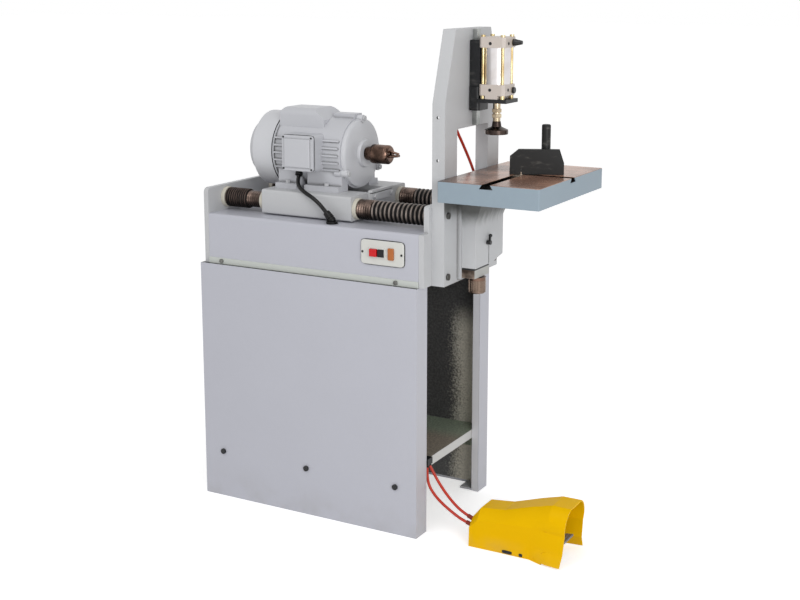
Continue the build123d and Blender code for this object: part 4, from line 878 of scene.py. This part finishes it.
def joined(name: str, meshes: Sequence[bpy.types.Mesh]) -> bpy.types.Mesh:
    """Put several meshes into one.

    Args:
        name: Name of the whole.
        meshes: The meshes to join.

    Returns:
        The new mesh.
    """
    body = bmesh.new()
    for mesh in meshes:
        body.from_mesh(mesh)
    whole = bpy.data.meshes.new(name)
    body.to_mesh(whole)
    body.free()
    return whole


def ring_rows(along: Span, radius: Span) -> np.ndarray:
    """Return the closed profile of a ring of square section, from its ends and its two radii."""
    return np.array([(along[a], radius[r]) for a, r in ((0, 0), (0, 1), (1, 1), (1, 0))])


def hexagon(profile: np.ndarray, angle: np.ndarray) -> np.ndarray:
    """Factor that turns rounds into hexagons: cos 30 over the cosine of the angle from a flat."""
    return np.cos(pi / 6) / np.cos(np.mod(angle, pi / 3) - pi / 6) * np.ones_like(profile[:, :1])


@dataclass(frozen=True)
class Oblong:
    """A rounded rectangle, the superellipse |x / a|^n + |y / b|^n = 1 in polar form."""

    half_width: float
    half_height: float
    power: float = 9.0

    def __call__(self, profile: np.ndarray, angle: np.ndarray) -> np.ndarray:
        """Work out the distance to the outline, for rows whose radius is a share of it.

        Args:
            profile: Rows of the turning.
            angle: Angles round it.

        Returns:
            The factor for each row and angle.
        """
        flat = np.abs(np.cos(angle) / self.half_width) ** self.power
        steep = np.abs(np.sin(angle) / self.half_height) ** self.power
        return (flat + steep) ** (-1 / self.power) * np.ones_like(profile[:, :1])


@dataclass(frozen=True)
class Knurl:
    """Crossed ridges round a sleeve, the product of two slanted cosines."""

    start: float
    teeth: int
    slant: float = 900.0
    depth: float = 0.009

    def __call__(self, profile: np.ndarray, angle: np.ndarray) -> np.ndarray:
        """Work out how far the ridges stand out.

        Args:
            profile: Rows of the turning.
            angle: Angles round it.

        Returns:
            The factor for each row and angle.
        """
        slant = self.slant * (profile[:, :1] - self.start)
        wave = np.cos(self.teeth * angle / 2 + slant) * np.cos(self.teeth * angle / 2 - slant)
        return 1.0 + self.depth * wave


@dataclass(frozen=True)
class SocketScrew:
    """A round screw head with a hexagonal socket, whose other sizes are shares of these two."""

    radius: float
    height: float
    shoulder: Span = (0.7, 0.8)
    socket: float = 0.5
    socket_floor: float = 0.4

    def mesh(self, place: Point, axis: Point) -> bpy.types.Mesh:
        """Turn the head, with the socket's rows made hexagonal.

        Args:
            place: Middle of the seat.
            axis: Direction that the head faces.

        Returns:
            The closed head.
        """
        r, h = self.radius, self.height
        socket, floor = self.socket * r, self.socket_floor * h
        rim = ((self.shoulder[0] * h, r), (h, self.shoulder[1] * r))
        rows = ((0, 0), (0, r), *rim, (h, socket), (floor, socket), (floor, 0))

        def flats(profile: np.ndarray, angle: np.ndarray) -> np.ndarray:
            """Hexagon within the socket, round outside it."""
            return np.where(profile[:, 1:2] <= socket, hexagon(profile, angle), 1.0)

        return Turning(place, axis, 36).mesh("screw", np.array(rows, float), flats)


class Workshop:
    """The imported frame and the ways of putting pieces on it."""

    def __init__(self) -> None:
        """Load the frame and note which body and slot each node has."""
        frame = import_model()
        self.nodes = frame["nodes"]
        record = frame["record"]
        bodies = record["behaviour"]["bodies"]
        self.body_of = {node: body for body, nodes in bodies.items() for node in nodes}
        self.slot_of = {row["node"]: row["material_slot"] for row in record["subparts"]}

    def paint(self, coat: Coat, *nodes: str) -> None:
        """Give CAD nodes a finish as they are.

        Args:
            coat: The finish.
            *nodes: Names of the CAD nodes.
        """
        for node in nodes:
            data = self.nodes[node].data
            data.materials.clear()
            data.materials.append(coat.material())
            LOG.info("painted %s with %s", node, coat.name)

    def soften(self, coat: Coat, edge: Edge, *nodes: str, crease: float = 38.0) -> None:
        """Stand in for CAD nodes with copies whose sharp edges are rounded.

        Args:
            coat: The finish.
            edge: The rounding.
            *nodes: Names of the CAD nodes.
            crease: Angle in degrees from which an edge counts as sharp.
        """
        for node in nodes:
            mesh = self.nodes[node].data.copy()
            mesh.name = f"{node}_soft"
            if "custom_normal" in mesh.attributes:
                mesh.attributes.remove(mesh.attributes["custom_normal"])
            body = bmesh.new()
            body.from_mesh(mesh)
            bmesh.ops.remove_doubles(body, verts=body.verts, dist=1e-6)
            bmesh.ops.dissolve_limit(body, angle_limit=radians(0.5), verts=body.verts, edges=body.edges)
            body.to_mesh(mesh)
            body.free()
            mesh.shade_smooth()
            piece = self.place(mesh, coat, self.body_of[node], self.slot_of[node])
            bevel = piece.modifiers.new("rounded_edges", "BEVEL")
            bevel.width = edge.value
            bevel.segments = 2
            bevel.limit_method = "ANGLE"
            bevel.angle_limit = radians(crease)
            bevel.use_clamp_overlap = True
            bevel.loop_slide = False
            bevel.harden_normals = True
            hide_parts(node)

    def place(self, data: bpy.types.ID, coat: Coat, body: Optional[str], slot: str) -> bpy.types.Object:
        """Add a new piece to the scene.

        Args:
            data: Its mesh or curve, which also gives it its name.
            coat: Its finish.
            body: The body that it rides on, or None to leave it unattached.
            slot: The record's material slot; not used.

        Returns:
            The new object.
        """
        piece = bpy.data.objects.new(data.name, data)
        bpy.context.scene.collection.objects.link(piece)
        data.materials.clear()
        data.materials.append(coat.material())
        if body is not None:
            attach(piece, body)
        LOG.info("placed %s with %s", piece.name, coat.name)
        return piece


@dataclass
class Stand:
    """The folded stand with its shelf and the screws of the frame."""

    shop: Workshop

    def build(self) -> None:
        """Dress the stand's nodes."""
        self.shop.soften(Coat.PANEL, Edge.FOLDED, "stand_front_panel", "stand_rear_panel")
        self.shop.soften(Coat.SHELF, Edge.FOLDED, "stand_shelf")
        self.shop.soften(Coat.SCREWS, Edge.CUT, "frame_screws")


@dataclass(frozen=True)
class Ribs:
    """A ribbed stretch round a guide bar: left unattached where it lists two bodies, or riding on the
    carriage.
    """

    name: str
    node: str
    coat: Coat
    reach: Span
    count: int
    depth: float
    crest: float = 0.028
    end_radius: float = 0.0225
    bodies: Optional[tuple[str, str]] = None
    rows_in_rib: int = 12
    flatness: float = 1.6

    def rows(self) -> np.ndarray:
        """Work out rib rows: the radius swings as a flattened cosine between crest and root.

        Returns:
            Rows of (x, radius), without the last root.
        """
        start, end = self.reach
        turn = np.linspace(0, self.count, self.count * self.rows_in_rib, endpoint=False)
        swing = np.tanh(self.flatness * np.cos(2 * pi * turn)) / np.tanh(self.flatness)
        radius = self.crest - self.depth * (1 + swing) / 2
        return np.column_stack([start + (end - start) * turn / self.count, radius])


@dataclass
class Slide:
    """The bed with its guide bars, collars, bushings and ribbed bellows."""

    shop: Workshop
    bar_y: float = 0.120
    bar_z: float = 0.868
    bore: float = 0.0205
    stretches: tuple[Ribs, ...] = (
        Ribs(
            "left_ribs",
            "left_bellows",
            Coat.BELLOWS,
            (-0.315, -0.242),
            10,
            0.004125,
            bodies=("frame", "carriage"),
        ),
        Ribs("left_cuff", "left_bellows", Coat.CUFF, (-0.2435, -0.194), 7, 0.0011, 0.0232, 0.0221),
        Ribs("right_cuff", "right_bellows", Coat.CUFF, (0.122, 0.166), 6, 0.00165, end_radius=0.02635),
        Ribs(
            "right_ribs",
            "right_bellows",
            Coat.BELLOWS,
            (0.166, 0.336),
            13,
            0.0055,
            bodies=("carriage", "frame"),
        ),
    )

    def sleeves(self, ribs: Ribs) -> None:
        """Turn a ribbed stretch round each of the two bars.

        Args:
            ribs: The stretch.
        """
        start, end = ribs.reach
        inner = np.array([(end, ribs.end_radius), (end, self.bore), (start, self.bore)])
        profile = np.vstack([ribs.rows(), inner])
        body = None if ribs.bodies else "carriage"
        for side, y in (("front", -self.bar_y), ("back", self.bar_y)):
            mesh = Turning((0.0, y, self.bar_z)).mesh(f"{ribs.name}_{side}", profile)
            piece = self.shop.place(mesh, ribs.coat, body, "bellows_rubber")
            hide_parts(ribs.node)
            if ribs.bodies:
                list(ribs.bodies)
                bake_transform(piece)

    def build(self) -> None:
        """Dress the bed and add the bellows."""
        shop = self.shop
        shop.soften(Coat.BED, Edge.PLATE, "bed_box")
        shop.soften(Coat.CASTING, Edge.PLATE, "left_end_plate", "right_end_plate")
        shop.soften(Coat.CREAM, Edge.PLATE, "plate_collars", "carriage_collars")
        shop.soften(Coat.CASTING, Edge.CAST, "carriage", "carriage_end_plate")
        shop.paint(Coat.BAR, "guide_bars", "feed_rod")
        shop.paint(Coat.TURNED, "guide_bushings")
        shop.paint(Coat.ALLOY, "feed_cylinder")
        for ribs in self.stretches:
            self.sleeves(ribs)


@dataclass
class Motor:
    """The motor on its carriage, and the chuck on its shaft."""

    shop: Workshop
    spindle_z: float = 1.004
    cover_x: Span = (-0.118, -0.016)
    cover_z: Span = (0.962, 1.060)
    cover_y: float = -0.142
    cover_lip: float = 0.008
    cover_head: SocketScrew = SocketScrew(0.0028, 0.0018)
    screw_inset: float = 0.0055
    gasket_margin: float = 0.0012
    gasket_depth: Span = (-0.0002, 0.001)
    gasket_share: Span = (0.92, 1.0)
    gasket_power: float = 12.0
    fan_gap_shade_x: Span = (-0.1782, -0.1772)
    fan_gap_shade_radius: Span = (0.0998, 0.1066)
    sleeve: Span = (0.096, 0.140)
    sleeve_radius: float = 0.0265
    knurl_wall: Span = (-0.001, 0.0002)
    knurl_rows: int = 13
    teeth: int = 64

    def cover_screws(self) -> None:
        """Screw the terminal cover down at its corners."""
        inset = self.screw_inset
        corners = [
            (x, self.cover_y, z)
            for x in (self.cover_x[0] + inset, self.cover_x[1] - inset)
            for z in (self.cover_z[0] + inset, self.cover_z[1] - inset)
        ]
        heads = [self.cover_head.mesh(corner, FRONT) for corner in corners]
        self.shop.place(joined("cover_screws", heads), Coat.BLACK, "carriage", "dark_steel")

    def gaps(self) -> None:
        """Put black rings in the fan cover's open edge, as painted shade in the gap, and round the
        terminal cover as a gasket.
        """
        spindle = Turning((0, 0, self.spindle_z), RIGHT, 120)
        # Painted shade: a black ring inside the fan cover's open edge.
        fan_gap = spindle.mesh("fan_gap", ring_rows(self.fan_gap_shade_x, self.fan_gap_shade_radius))
        self.shop.place(fan_gap, Coat.FITTING, "carriage", "black_plastic")
        (left, right), (low, high) = self.cover_x, self.cover_z
        seat = ((left + right) / 2, self.cover_y + self.cover_lip, (low + high) / 2)
        half_width = (right - left) / 2 + self.gasket_margin
        half_height = (high - low) / 2 + self.gasket_margin
        outline = Oblong(half_width, half_height, self.gasket_power)
        rows = ring_rows(self.gasket_depth, self.gasket_share)
        gasket = Turning(seat, FRONT, 120).mesh("terminal_gasket", rows, outline)
        self.shop.place(gasket, Coat.FITTING, "carriage", "black_plastic")

    def knurl(self) -> None:
        """Knurl the chuck's sleeve: the radius swings with the angle and with the length."""
        start, end = self.sleeve
        low, high = (self.sleeve_radius + wall for wall in self.knurl_wall)
        along = np.linspace(start, end, self.knurl_rows)
        outer = np.column_stack([along, np.full(self.knurl_rows, high)])
        profile = np.vstack([outer, np.array([(end, low), (start, low)])])
        spindle = Turning((0, 0, self.spindle_z), RIGHT, 6 * self.teeth)
        mesh = spindle.mesh("sleeve_knurl", profile, Knurl(start, self.teeth))
        self.shop.place(mesh, Coat.CHUCK, "chuck_sleeve", "bright_steel")

    def build(self) -> None:
        """Dress the motor and the spindle."""
        shop = self.shop
        shop.soften(Coat.MOTOR, Edge.CAST, "motor_frame")
        shop.soften(Coat.MOTOR_ENDS, Edge.CAST, "drive_end_bell")
        shop.soften(Coat.MOTOR, Edge.PLATE, "terminal_box", "terminal_cover", "capacitor_cover")
        shop.soften(Coat.MOTOR_ENDS, Edge.PRESSED, "fan_cover")
        shop.soften(Coat.CASTING, Edge.PRESSED, "motor_bolts")
        shop.paint(Coat.TURNED, "motor_bearings", "rotor_shaft")
        shop.paint(Coat.FITTING, "cooling_fan")
        shop.soften(Coat.CHUCK, Edge.TURNED, "chuck_body", "chuck_sleeve")
        shop.paint(Coat.CHUCK, "chuck_jaw_1", "chuck_jaw_2", "chuck_jaw_3")
        self.cover_screws()
        self.gaps()
        self.knurl()


@dataclass
class Column:
    """The portal column with the knee, the elevating screw and the lock lever."""

    shop: Workshop

    def build(self) -> None:
        """Dress the column and the knee."""
        shop = self.shop
        shop.soften(Coat.COLUMN, Edge.HEAVY, "column")
        shop.soften(Coat.KNEE, Edge.HEAVY, "knee")
        shop.soften(Coat.BRACKET, Edge.CUT, "elevating_bracket")
        shop.soften(Coat.POST, Edge.TURNED, "elevating_screw")
        shop.paint(Coat.BLACK, "lock_lever")


@dataclass
class Table:
    """The slotted table and its swivelling fence."""

    shop: Workshop

    def build(self) -> None:
        """Dress the table and the fence."""
        shop = self.shop
        shop.soften(Coat.TABLE, Edge.PLATE, "table")
        shop.soften(Coat.FENCE_BAR, Edge.GROUND, "fence_bar")
        shop.soften(Coat.FENCE, Edge.WORN, "fence_head")
        shop.paint(Coat.FENCE, "fence_handle")


@dataclass
class Clamp:
    """The air clamp on its rail."""

    shop: Workshop
    front_ports: Span = (0.465, -0.037)
    right_ports: Span = (0.506, -0.012)
    port_heights: Span = (1.198, 1.318)
    plug: SocketScrew = SocketScrew(0.0042, 0.0008)

    def plugs(self) -> None:
        """Close the caps' spare ports with socket plugs on the front and the right face."""
        faces = ((self.front_ports, FRONT), (self.right_ports, RIGHT))
        heads = [self.plug.mesh((*port, z), axis) for port, axis in faces for z in self.port_heights]
        self.shop.place(joined("port_plugs", heads), Coat.BLACK, "clamp_head", "dark_steel")

    def build(self) -> None:
        """Dress the clamp."""
        shop = self.shop
        shop.soften(Coat.RAIL, Edge.CUT, "clamp_rail")
        shop.soften(Coat.BLACK, Edge.FORGED, "clamp_bracket")
        shop.soften(Coat.CAP, Edge.PLATE, "clamp_caps")
        shop.paint(Coat.BARREL, "clamp_barrel")
        shop.soften(Coat.GOLD, Edge.TURNED, "clamp_hardware")
        shop.soften(Coat.ROD, Edge.TURNED, "clamp_rod")
        shop.soften(Coat.PAD, Edge.PLATE, "clamp_pad")
        self.plugs()


@dataclass(frozen=True)
class Lug:
    """A small plate on the guard's foot: its middle in X, half its length and its screws' offsets."""

    x: float
    half: float
    screws: tuple[float, ...]


@dataclass
class Controls:
    """The switch on the bed and the foot pedal."""

    shop: Workshop
    switch_centre: Span = (0.242, 0.774)
    switch_half: Span = (0.065, 0.033)
    switch_head: SocketScrew = SocketScrew(0.0032, 0.0012)
    screw_reach: float = 0.059
    gasket_margin: float = 0.0018
    gasket_depth: Span = (0.0, 0.0016)
    gasket_share: Span = (0.5, 1.0)
    bed_front: float = -0.208
    plate_front: float = -0.214
    lens_centre: Span = (0.270, 0.774)
    lens_outline: Oblong = Oblong(0.0086, 0.0157, 16.0)
    lens_rows: tuple[Span, ...] = ((0, 0), (0, 1), (0.0036, 1), (0.0048, 0.93), (0.0052, 0.8), (0.0052, 0))
    hinge: Point = (0.618, -0.132, 0.026)
    tilt: float = 9.0
    tread_lift: Span = (0.005, 0.003)
    tread_length: float = 0.132
    ridges: int = 11
    ridge_reach: Span = (0.022, 0.122)
    ridge_half: float = 0.038
    ridge_rise: Span = (0.001, 0.0018)
    lugs: tuple[Lug, ...] = (Lug(0.604, 0.014, (-0.0084, 0.0084)), Lug(0.643, 0.005, (0.0,)))
    lug_y: float = -0.1898
    lug_z: float = 0.0068
    lug_half_height: float = 0.0042
    lug_power: float = 5.0
    lug_rows: tuple[Span, ...] = ((0, 0), (0, 1), (0.0016, 1), (0.0024, 0.9), (0.0024, 0))
    lug_head: SocketScrew = SocketScrew(0.0026, 0.0016)

    def switch_trim(self) -> None:
        """Add the switch's gasket, amber lens and two screws."""
        x, z = self.switch_centre
        outline = Oblong(*(half + self.gasket_margin for half in self.switch_half))
        rows = ring_rows(self.gasket_depth, self.gasket_share)
        gasket = Turning((x, self.bed_front, z), FRONT, 96).mesh("switch_gasket", rows, outline)
        self.shop.place(gasket, Coat.FITTING, "frame", "black_plastic")
        seat = (self.lens_centre[0], self.plate_front, self.lens_centre[1])
        rows = np.array(self.lens_rows, float)
        lens = Turning(seat, FRONT, 96).mesh("switch_lens", rows, self.lens_outline)
        self.shop.place(lens, Coat.AMBER, "frame", "black_plastic")
        sides = (x - self.screw_reach, x + self.screw_reach)
        heads = [self.switch_head.mesh((side, self.plate_front, z), FRONT) for side in sides]
        self.shop.place(joined("switch_screws", heads), Coat.BLACK, "frame", "dark_steel")

    def tread(self) -> None:
        """Lay round ridges across the treadle."""
        lean = radians(self.tilt)
        forward = np.array((cos(lean), 0, sin(lean)))
        upward = np.array((-sin(lean), 0, cos(lean)))
        half, (flat, crown) = self.ridge_half, self.ridge_rise
        end = np.array([(-half, 0), (-half, flat), (flat - half, crown)])
        bar = np.vstack([end, end[::-1] * (-1, 1)])
        near, far = self.tread_lift
        rods = []
        for reach in np.linspace(*self.ridge_reach, self.ridges):
            lift = near + (far - near) * reach / self.tread_length
            place = np.array(self.hinge) + reach * forward + lift * upward
            rods.append(Turning(tuple(place), (0, 1, 0), 20).mesh("ridge", bar))
        self.shop.place(joined("tread_ridges", rods), Coat.TREAD, "treadle", "dark_steel")

    def lug_plates(self) -> None:
        """Fix two small plates with screws to the guard's near foot."""
        rows = np.array(self.lug_rows, float)
        front = self.lug_y - rows[-1, 0]
        plates = []
        for lug in self.lugs:
            outline = Oblong(lug.half, self.lug_half_height, self.lug_power)
            plates.append(Turning((lug.x, self.lug_y, self.lug_z), FRONT).mesh("lug", rows, outline))
            places = [(lug.x + offset, front, self.lug_z) for offset in lug.screws]
            plates += [self.lug_head.mesh(place, FRONT) for place in places]
        self.shop.place(joined("pedal_lugs", plates), Coat.BLACK, "frame", "dark_steel")

    def build(self) -> None:
        """Dress the switch and the pedal."""
        shop = self.shop
        shop.soften(Coat.PLATE, Edge.TURNED, "switch_plate")
        shop.soften(Coat.STOP, Edge.TURNED, "stop_button")
        shop.soften(Coat.START, Edge.TURNED, "start_button")
        shop.soften(Coat.PEDAL, Edge.CUT, "pedal_base")
        shop.soften(Coat.PEDAL, Edge.FOLDED, "pedal_guard", crease=9.0)
        shop.paint(Coat.FITTING, "pedal_valve")
        shop.soften(Coat.TREAD, Edge.PLATE, "treadle")
        self.switch_trim()
        self.tread()
        self.lug_plates()


@dataclass(frozen=True)
class Line:
    """A hose or cable on one smooth spline, with its route as the control points."""

    node: str
    length: float
    route_mm: Sequence[Point]
    coat: Coat = Coat.HOSE
    slot: str = "hose_plastic"
    diameter: float = 0.008

    @property
    def points(self) -> np.ndarray:
        """The route in metres."""
        return np.array(self.route_mm, float) / 1000.0

    def curve(self, thickness: float) -> bpy.types.Curve:
        """Make the spline.

        Args:
            thickness: Radius of the round section, or 0 for the bare line.

        Returns:
            A curve of one open spline of order 3 that reaches both ends.
        """
        curve = bpy.data.curves.new(f"{self.node}_line", "CURVE")
        curve.dimensions = "3D"
        curve.resolution_u = 16
        curve.bevel_depth = thickness
        curve.bevel_resolution = 6
        curve.use_fill_caps = True
        spline = curve.splines.new("NURBS")
        points = self.points
        spline.points.add(len(points) - 1)
        spline.points.foreach_set("co", np.column_stack([points, np.ones(len(points))]).ravel())
        spline.order_u = 3
        spline.use_endpoint_u = True
        return curve


PEDAL_HOSE_UPPER = Line(
    "pedal_hose_upper",
    0.174,
    (
        (349, -141, 182),
        (371, -143, 149),
        (396, -147, 121),
        (424, -151, 96),
        (453, -156, 78),
        (476, -160, 71),
    ),
)
PEDAL_HOSE_LOWER = Line(
    "pedal_hose_lower",
    0.2005,
    (
        (347, -153, 182),
        (347, -153, 155),
        (353, -153, 130),
        (370, -155, 108),
        (398, -159, 88),
        (433, -164.5, 71),
        (459, -169, 61),
        (477, -171, 57),
    ),
)
CLAMP_HOSE = Line(
    "clamp_hose",
    0.301,
    (
        (355.5, 121, 915),
        (355.5, 118, 933),
        (355.5, 104, 954),
        (355.5, 73, 994.5),
        (355.5, 29, 1045),
        (355.5, -8, 1084),
        (358, -30, 1118),
        (370, -43, 1134),
        (375, -48, 1156),
    ),
)
MOTOR_CABLE = Line(
    "motor_cable",
    0.166,
    (
        (-72.04, -128.18, 949.29),
        (-68.74, -140.27, 931.27),
        (-52, -156, 918),
        (-24, -166, 906),
        (3, -171, 895),
        (27.84, -173.76, 878.57),
        (47.28, -175.92, 859.94),
    ),
    Coat.CABLE,
    "black_plastic",
    0.011,
)


@dataclass
class Lines:
    """The hoses, the motor cable and their fittings."""

    shop: Workshop
    sides: int = 24
    side: Point = (0.35, 0.93, 0.1)
    boot_foot: Point = (0.066, -0.178, 0.842)
    boot_lean: Point = (-0.72, 0.08, 0.69)
    boot_reach: Span = (0.006, 0.027)
    boot_radius: float = 0.0111
    boot_taper: float = 0.07
    boot_swell: float = 0.0009
    boot_bore: float = 0.006
    boot_ribs: int = 5
    boot_rows: int = 61
    gland_lean: Point = (0.15, -0.55, -0.82)
    gland_depth: float = 0.008
    nut_rows: tuple[Span, ...] = (
        (0, 0.006),
        (0, 0.0105),
        (0.0008, 0.0112),
        (0.0084, 0.0112),
        (0.0092, 0.0105),
        (0.0092, 0.0058),
    )

    def hose(self, line: Line) -> None:
        """Lay a hose that stays with the frame.

        Args:
            line: The hose.
        """
        piece = self.shop.place(line.curve(line.diameter / 2), line.coat, "frame", line.slot)
        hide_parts(line.node)
        self.declare(line)

    def declare(self, line: Line) -> None:
        """Read the first point of a line that runs from one fitting to another, and do nothing with it.

        Args:
            line: The line.
        """
        tuple(line.points[0])

    def cable(self, line: Line) -> None:
        """Lay a cable as a tube, not attached to any body.

        A ring of the tube is p + radius * (cos a * n + sin a * b), where n is square to the line's
        direction and to a fixed side vector, and b to both.

        Args:
            line: The cable.
        """
        bare = bpy.data.objects.new("bare_line", line.curve(0.0))
        bpy.context.scene.collection.objects.link(bare)
        bpy.context.view_layer.update()
        graph = bpy.context.evaluated_depsgraph_get()
        drawn = bpy.data.meshes.new_from_object(bare.evaluated_get(graph))
        path = np.empty(len(drawn.vertices) * 3)
        drawn.vertices.foreach_get("co", path)
        path = path.reshape(-1, 3)
        bpy.data.objects.remove(bare)
        along = np.gradient(path, axis=0)
        along /= np.linalg.norm(along, axis=1, keepdims=True)
        normal = np.cross(along, np.array(self.side))
        normal /= np.linalg.norm(normal, axis=1, keepdims=True)
        across = np.cross(along, normal)
        angle = np.linspace(0, 2 * pi, self.sides, endpoint=False)[None, :, None]
        ring = np.cos(angle) * normal[:, None] + np.sin(angle) * across[:, None]
        tube = path[:, None] + line.diameter / 2 * ring
        caps = [np.repeat(path[end][None, None], self.sides, 1) for end in (0, -1)]
        mesh = grid_mesh(f"{line.node}_tube", np.concatenate([caps[0], tube, caps[1]]), False, True)
        piece = self.shop.place(mesh, line.coat, None, line.slot)
        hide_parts(line.node)
        tuple(path[0])
        tuple(path[-1])
        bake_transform(piece)
        self.declare(line)

    def boot(self) -> None:
        """Put a boot at the cable's foot: a taper with ribs, the upper halves of a sine along it."""
        start, end = self.boot_reach
        along = np.linspace(start, end, self.boot_rows)
        wave = np.sin(2 * pi * self.boot_ribs * (along - start) / (end - start))
        radius = self.boot_radius - self.boot_taper * along + self.boot_swell * np.maximum(0.0, wave)
        inner = np.array([(end, self.boot_bore), (start, self.boot_bore)])
        profile = np.vstack([np.column_stack([along, radius]), inner])
        mesh = Turning(self.boot_foot, self.boot_lean).mesh("boot_ribs", profile)
        self.shop.place(mesh, Coat.CABLE, "frame", "black_plastic")

    def gland(self) -> None:
        """Put a hexagonal nut on the cable where it leaves the motor."""
        lean = np.array(self.gland_lean) / np.linalg.norm(self.gland_lean)
        place = MOTOR_CABLE.points[0] - self.gland_depth * lean
        mesh = Turning(tuple(place), tuple(lean)).mesh("gland_nut", np.array(self.nut_rows), hexagon)
        self.shop.place(mesh, Coat.FITTING, "carriage", "black_plastic")

    def build(self) -> None:
        """Lay the hoses and the cable, and dress their fittings."""
        self.boot()
        self.gland()
        self.shop.soften(Coat.LINE_ENDS, Edge.TURNED, "line_fittings")
        for line in (PEDAL_HOSE_UPPER, PEDAL_HOSE_LOWER, CLAMP_HOSE):
            self.hose(line)
        self.cable(MOTOR_CABLE)


@dataclass
class Studio:
    """The floor, the light and the camera."""

    camera_place: Point = (1.9349, -3.1559, 1.4802)
    camera_yaw: float = 29.111
    camera_pitch: float = -10.824
    lens: float = 59.379
    shift: float = -0.085
    sensor: float = 36.0
    floor_half: float = 40.0
    floor_drop: float = 0.0005
    floor_glow: float = 0.5
    sky: float = 0.53

    def floor(self) -> None:
        """Lay a plain pale floor, a flat grid."""
        edge = np.linspace(-self.floor_half, self.floor_half, 3)
        x, y = np.meshgrid(edge, edge, indexing="ij")
        level = np.full_like(x, -self.floor_drop)
        mesh = grid_mesh("floor", np.stack([x, y, level], -1), False, False)
        material = bpy.data.materials.new("floor")
        graph = Graph(material)
        tone = graph.noise(graph.place(), 3.0)
        glow = graph.mix(graph.seen(), (0.0, 0.0, 0.0, 1.0), (self.floor_glow,) * 3 + (1.0,))
        colour = graph.toned(srgb(247, 247, 247), 1.0 + 0.01 * (tone - 0.5))
        graph.surface(Layers(colour, 0.9, 0.0, tone, 0.0001, glow=glow))
        mesh.materials.append(material)
        piece = bpy.data.objects.new("floor", mesh)
        bpy.context.scene.collection.objects.link(piece)

    def world(self) -> None:
        """Light softly from all round, with white wherever the sky is seen."""
        world = bpy.data.worlds.new("studio")
        graph = Graph(world)
        strength = self.sky + (1.0 - self.sky) * graph.seen()
        sky = graph.wire("ShaderNodeBackground", {}, {"Color": (1.0, 1.0, 1.0, 1.0), "Strength": strength})
        graph.node("ShaderNodeOutputWorld", {}, {"Surface": sky})
        bpy.context.scene.world = world

    def lamp(self, name: str, place: Point, aim: Point, size: float, watts: float) -> None:
        """Hang a square soft lamp that faces a point.

        Args:
            name: Name of the lamp.
            place: Where it hangs.
            aim: The point that it faces.
            size: Length of its sides.
            watts: Its power.
        """
        data = bpy.data.lights.new(name, "AREA")
        data.size = size
        data.energy = watts
        lamp = bpy.data.objects.new(name, data)
        away = np.array(place) - np.array(aim)
        lamp.location = place
        tilt = float(np.arctan2(np.hypot(away[0], away[1]), away[2]))
        lamp.rotation_euler = Euler((tilt, 0.0, float(np.arctan2(away[0], -away[1]))))
        bpy.context.scene.collection.objects.link(lamp)

    def camera(self) -> None:
        """Stand the camera where the photograph was taken from."""
        data = bpy.data.cameras.new("camera")
        data.sensor_width = self.sensor
        data.lens = self.lens
        data.shift_y = self.shift
        camera = bpy.data.objects.new("camera", data)
        camera.location = self.camera_place
        camera.rotation_euler = Euler((radians(90 + self.camera_pitch), 0.0, radians(self.camera_yaw)))
        bpy.context.scene.collection.objects.link(camera)
        bpy.context.scene.camera = camera

    def build(self) -> None:
        """Set up the studio."""
        bpy.context.scene.view_settings.view_transform = "Standard"
        self.floor()
        self.world()
        self.lamp("key", place=(-0.2, -2.5, 3.7), aim=(0.1, 0.0, 0.8), size=1.6, watts=28.0)
        self.lamp("side", place=(2.95, -2.2, 1.6), aim=(0.3, 0.0, 0.8), size=1.6, watts=45.0)
        self.camera()


def main() -> None:
    """Build the dressed machine."""
    logging.basicConfig(level=logging.INFO, format="%(message)s")
    shop = Workshop()
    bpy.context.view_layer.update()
    Studio().build()
    for part in (Lines, Stand, Slide, Motor, Column, Table, Clamp, Controls):
        part(shop).build()
    bpy.context.view_layer.update()


if __name__ == "__main__":
    main()
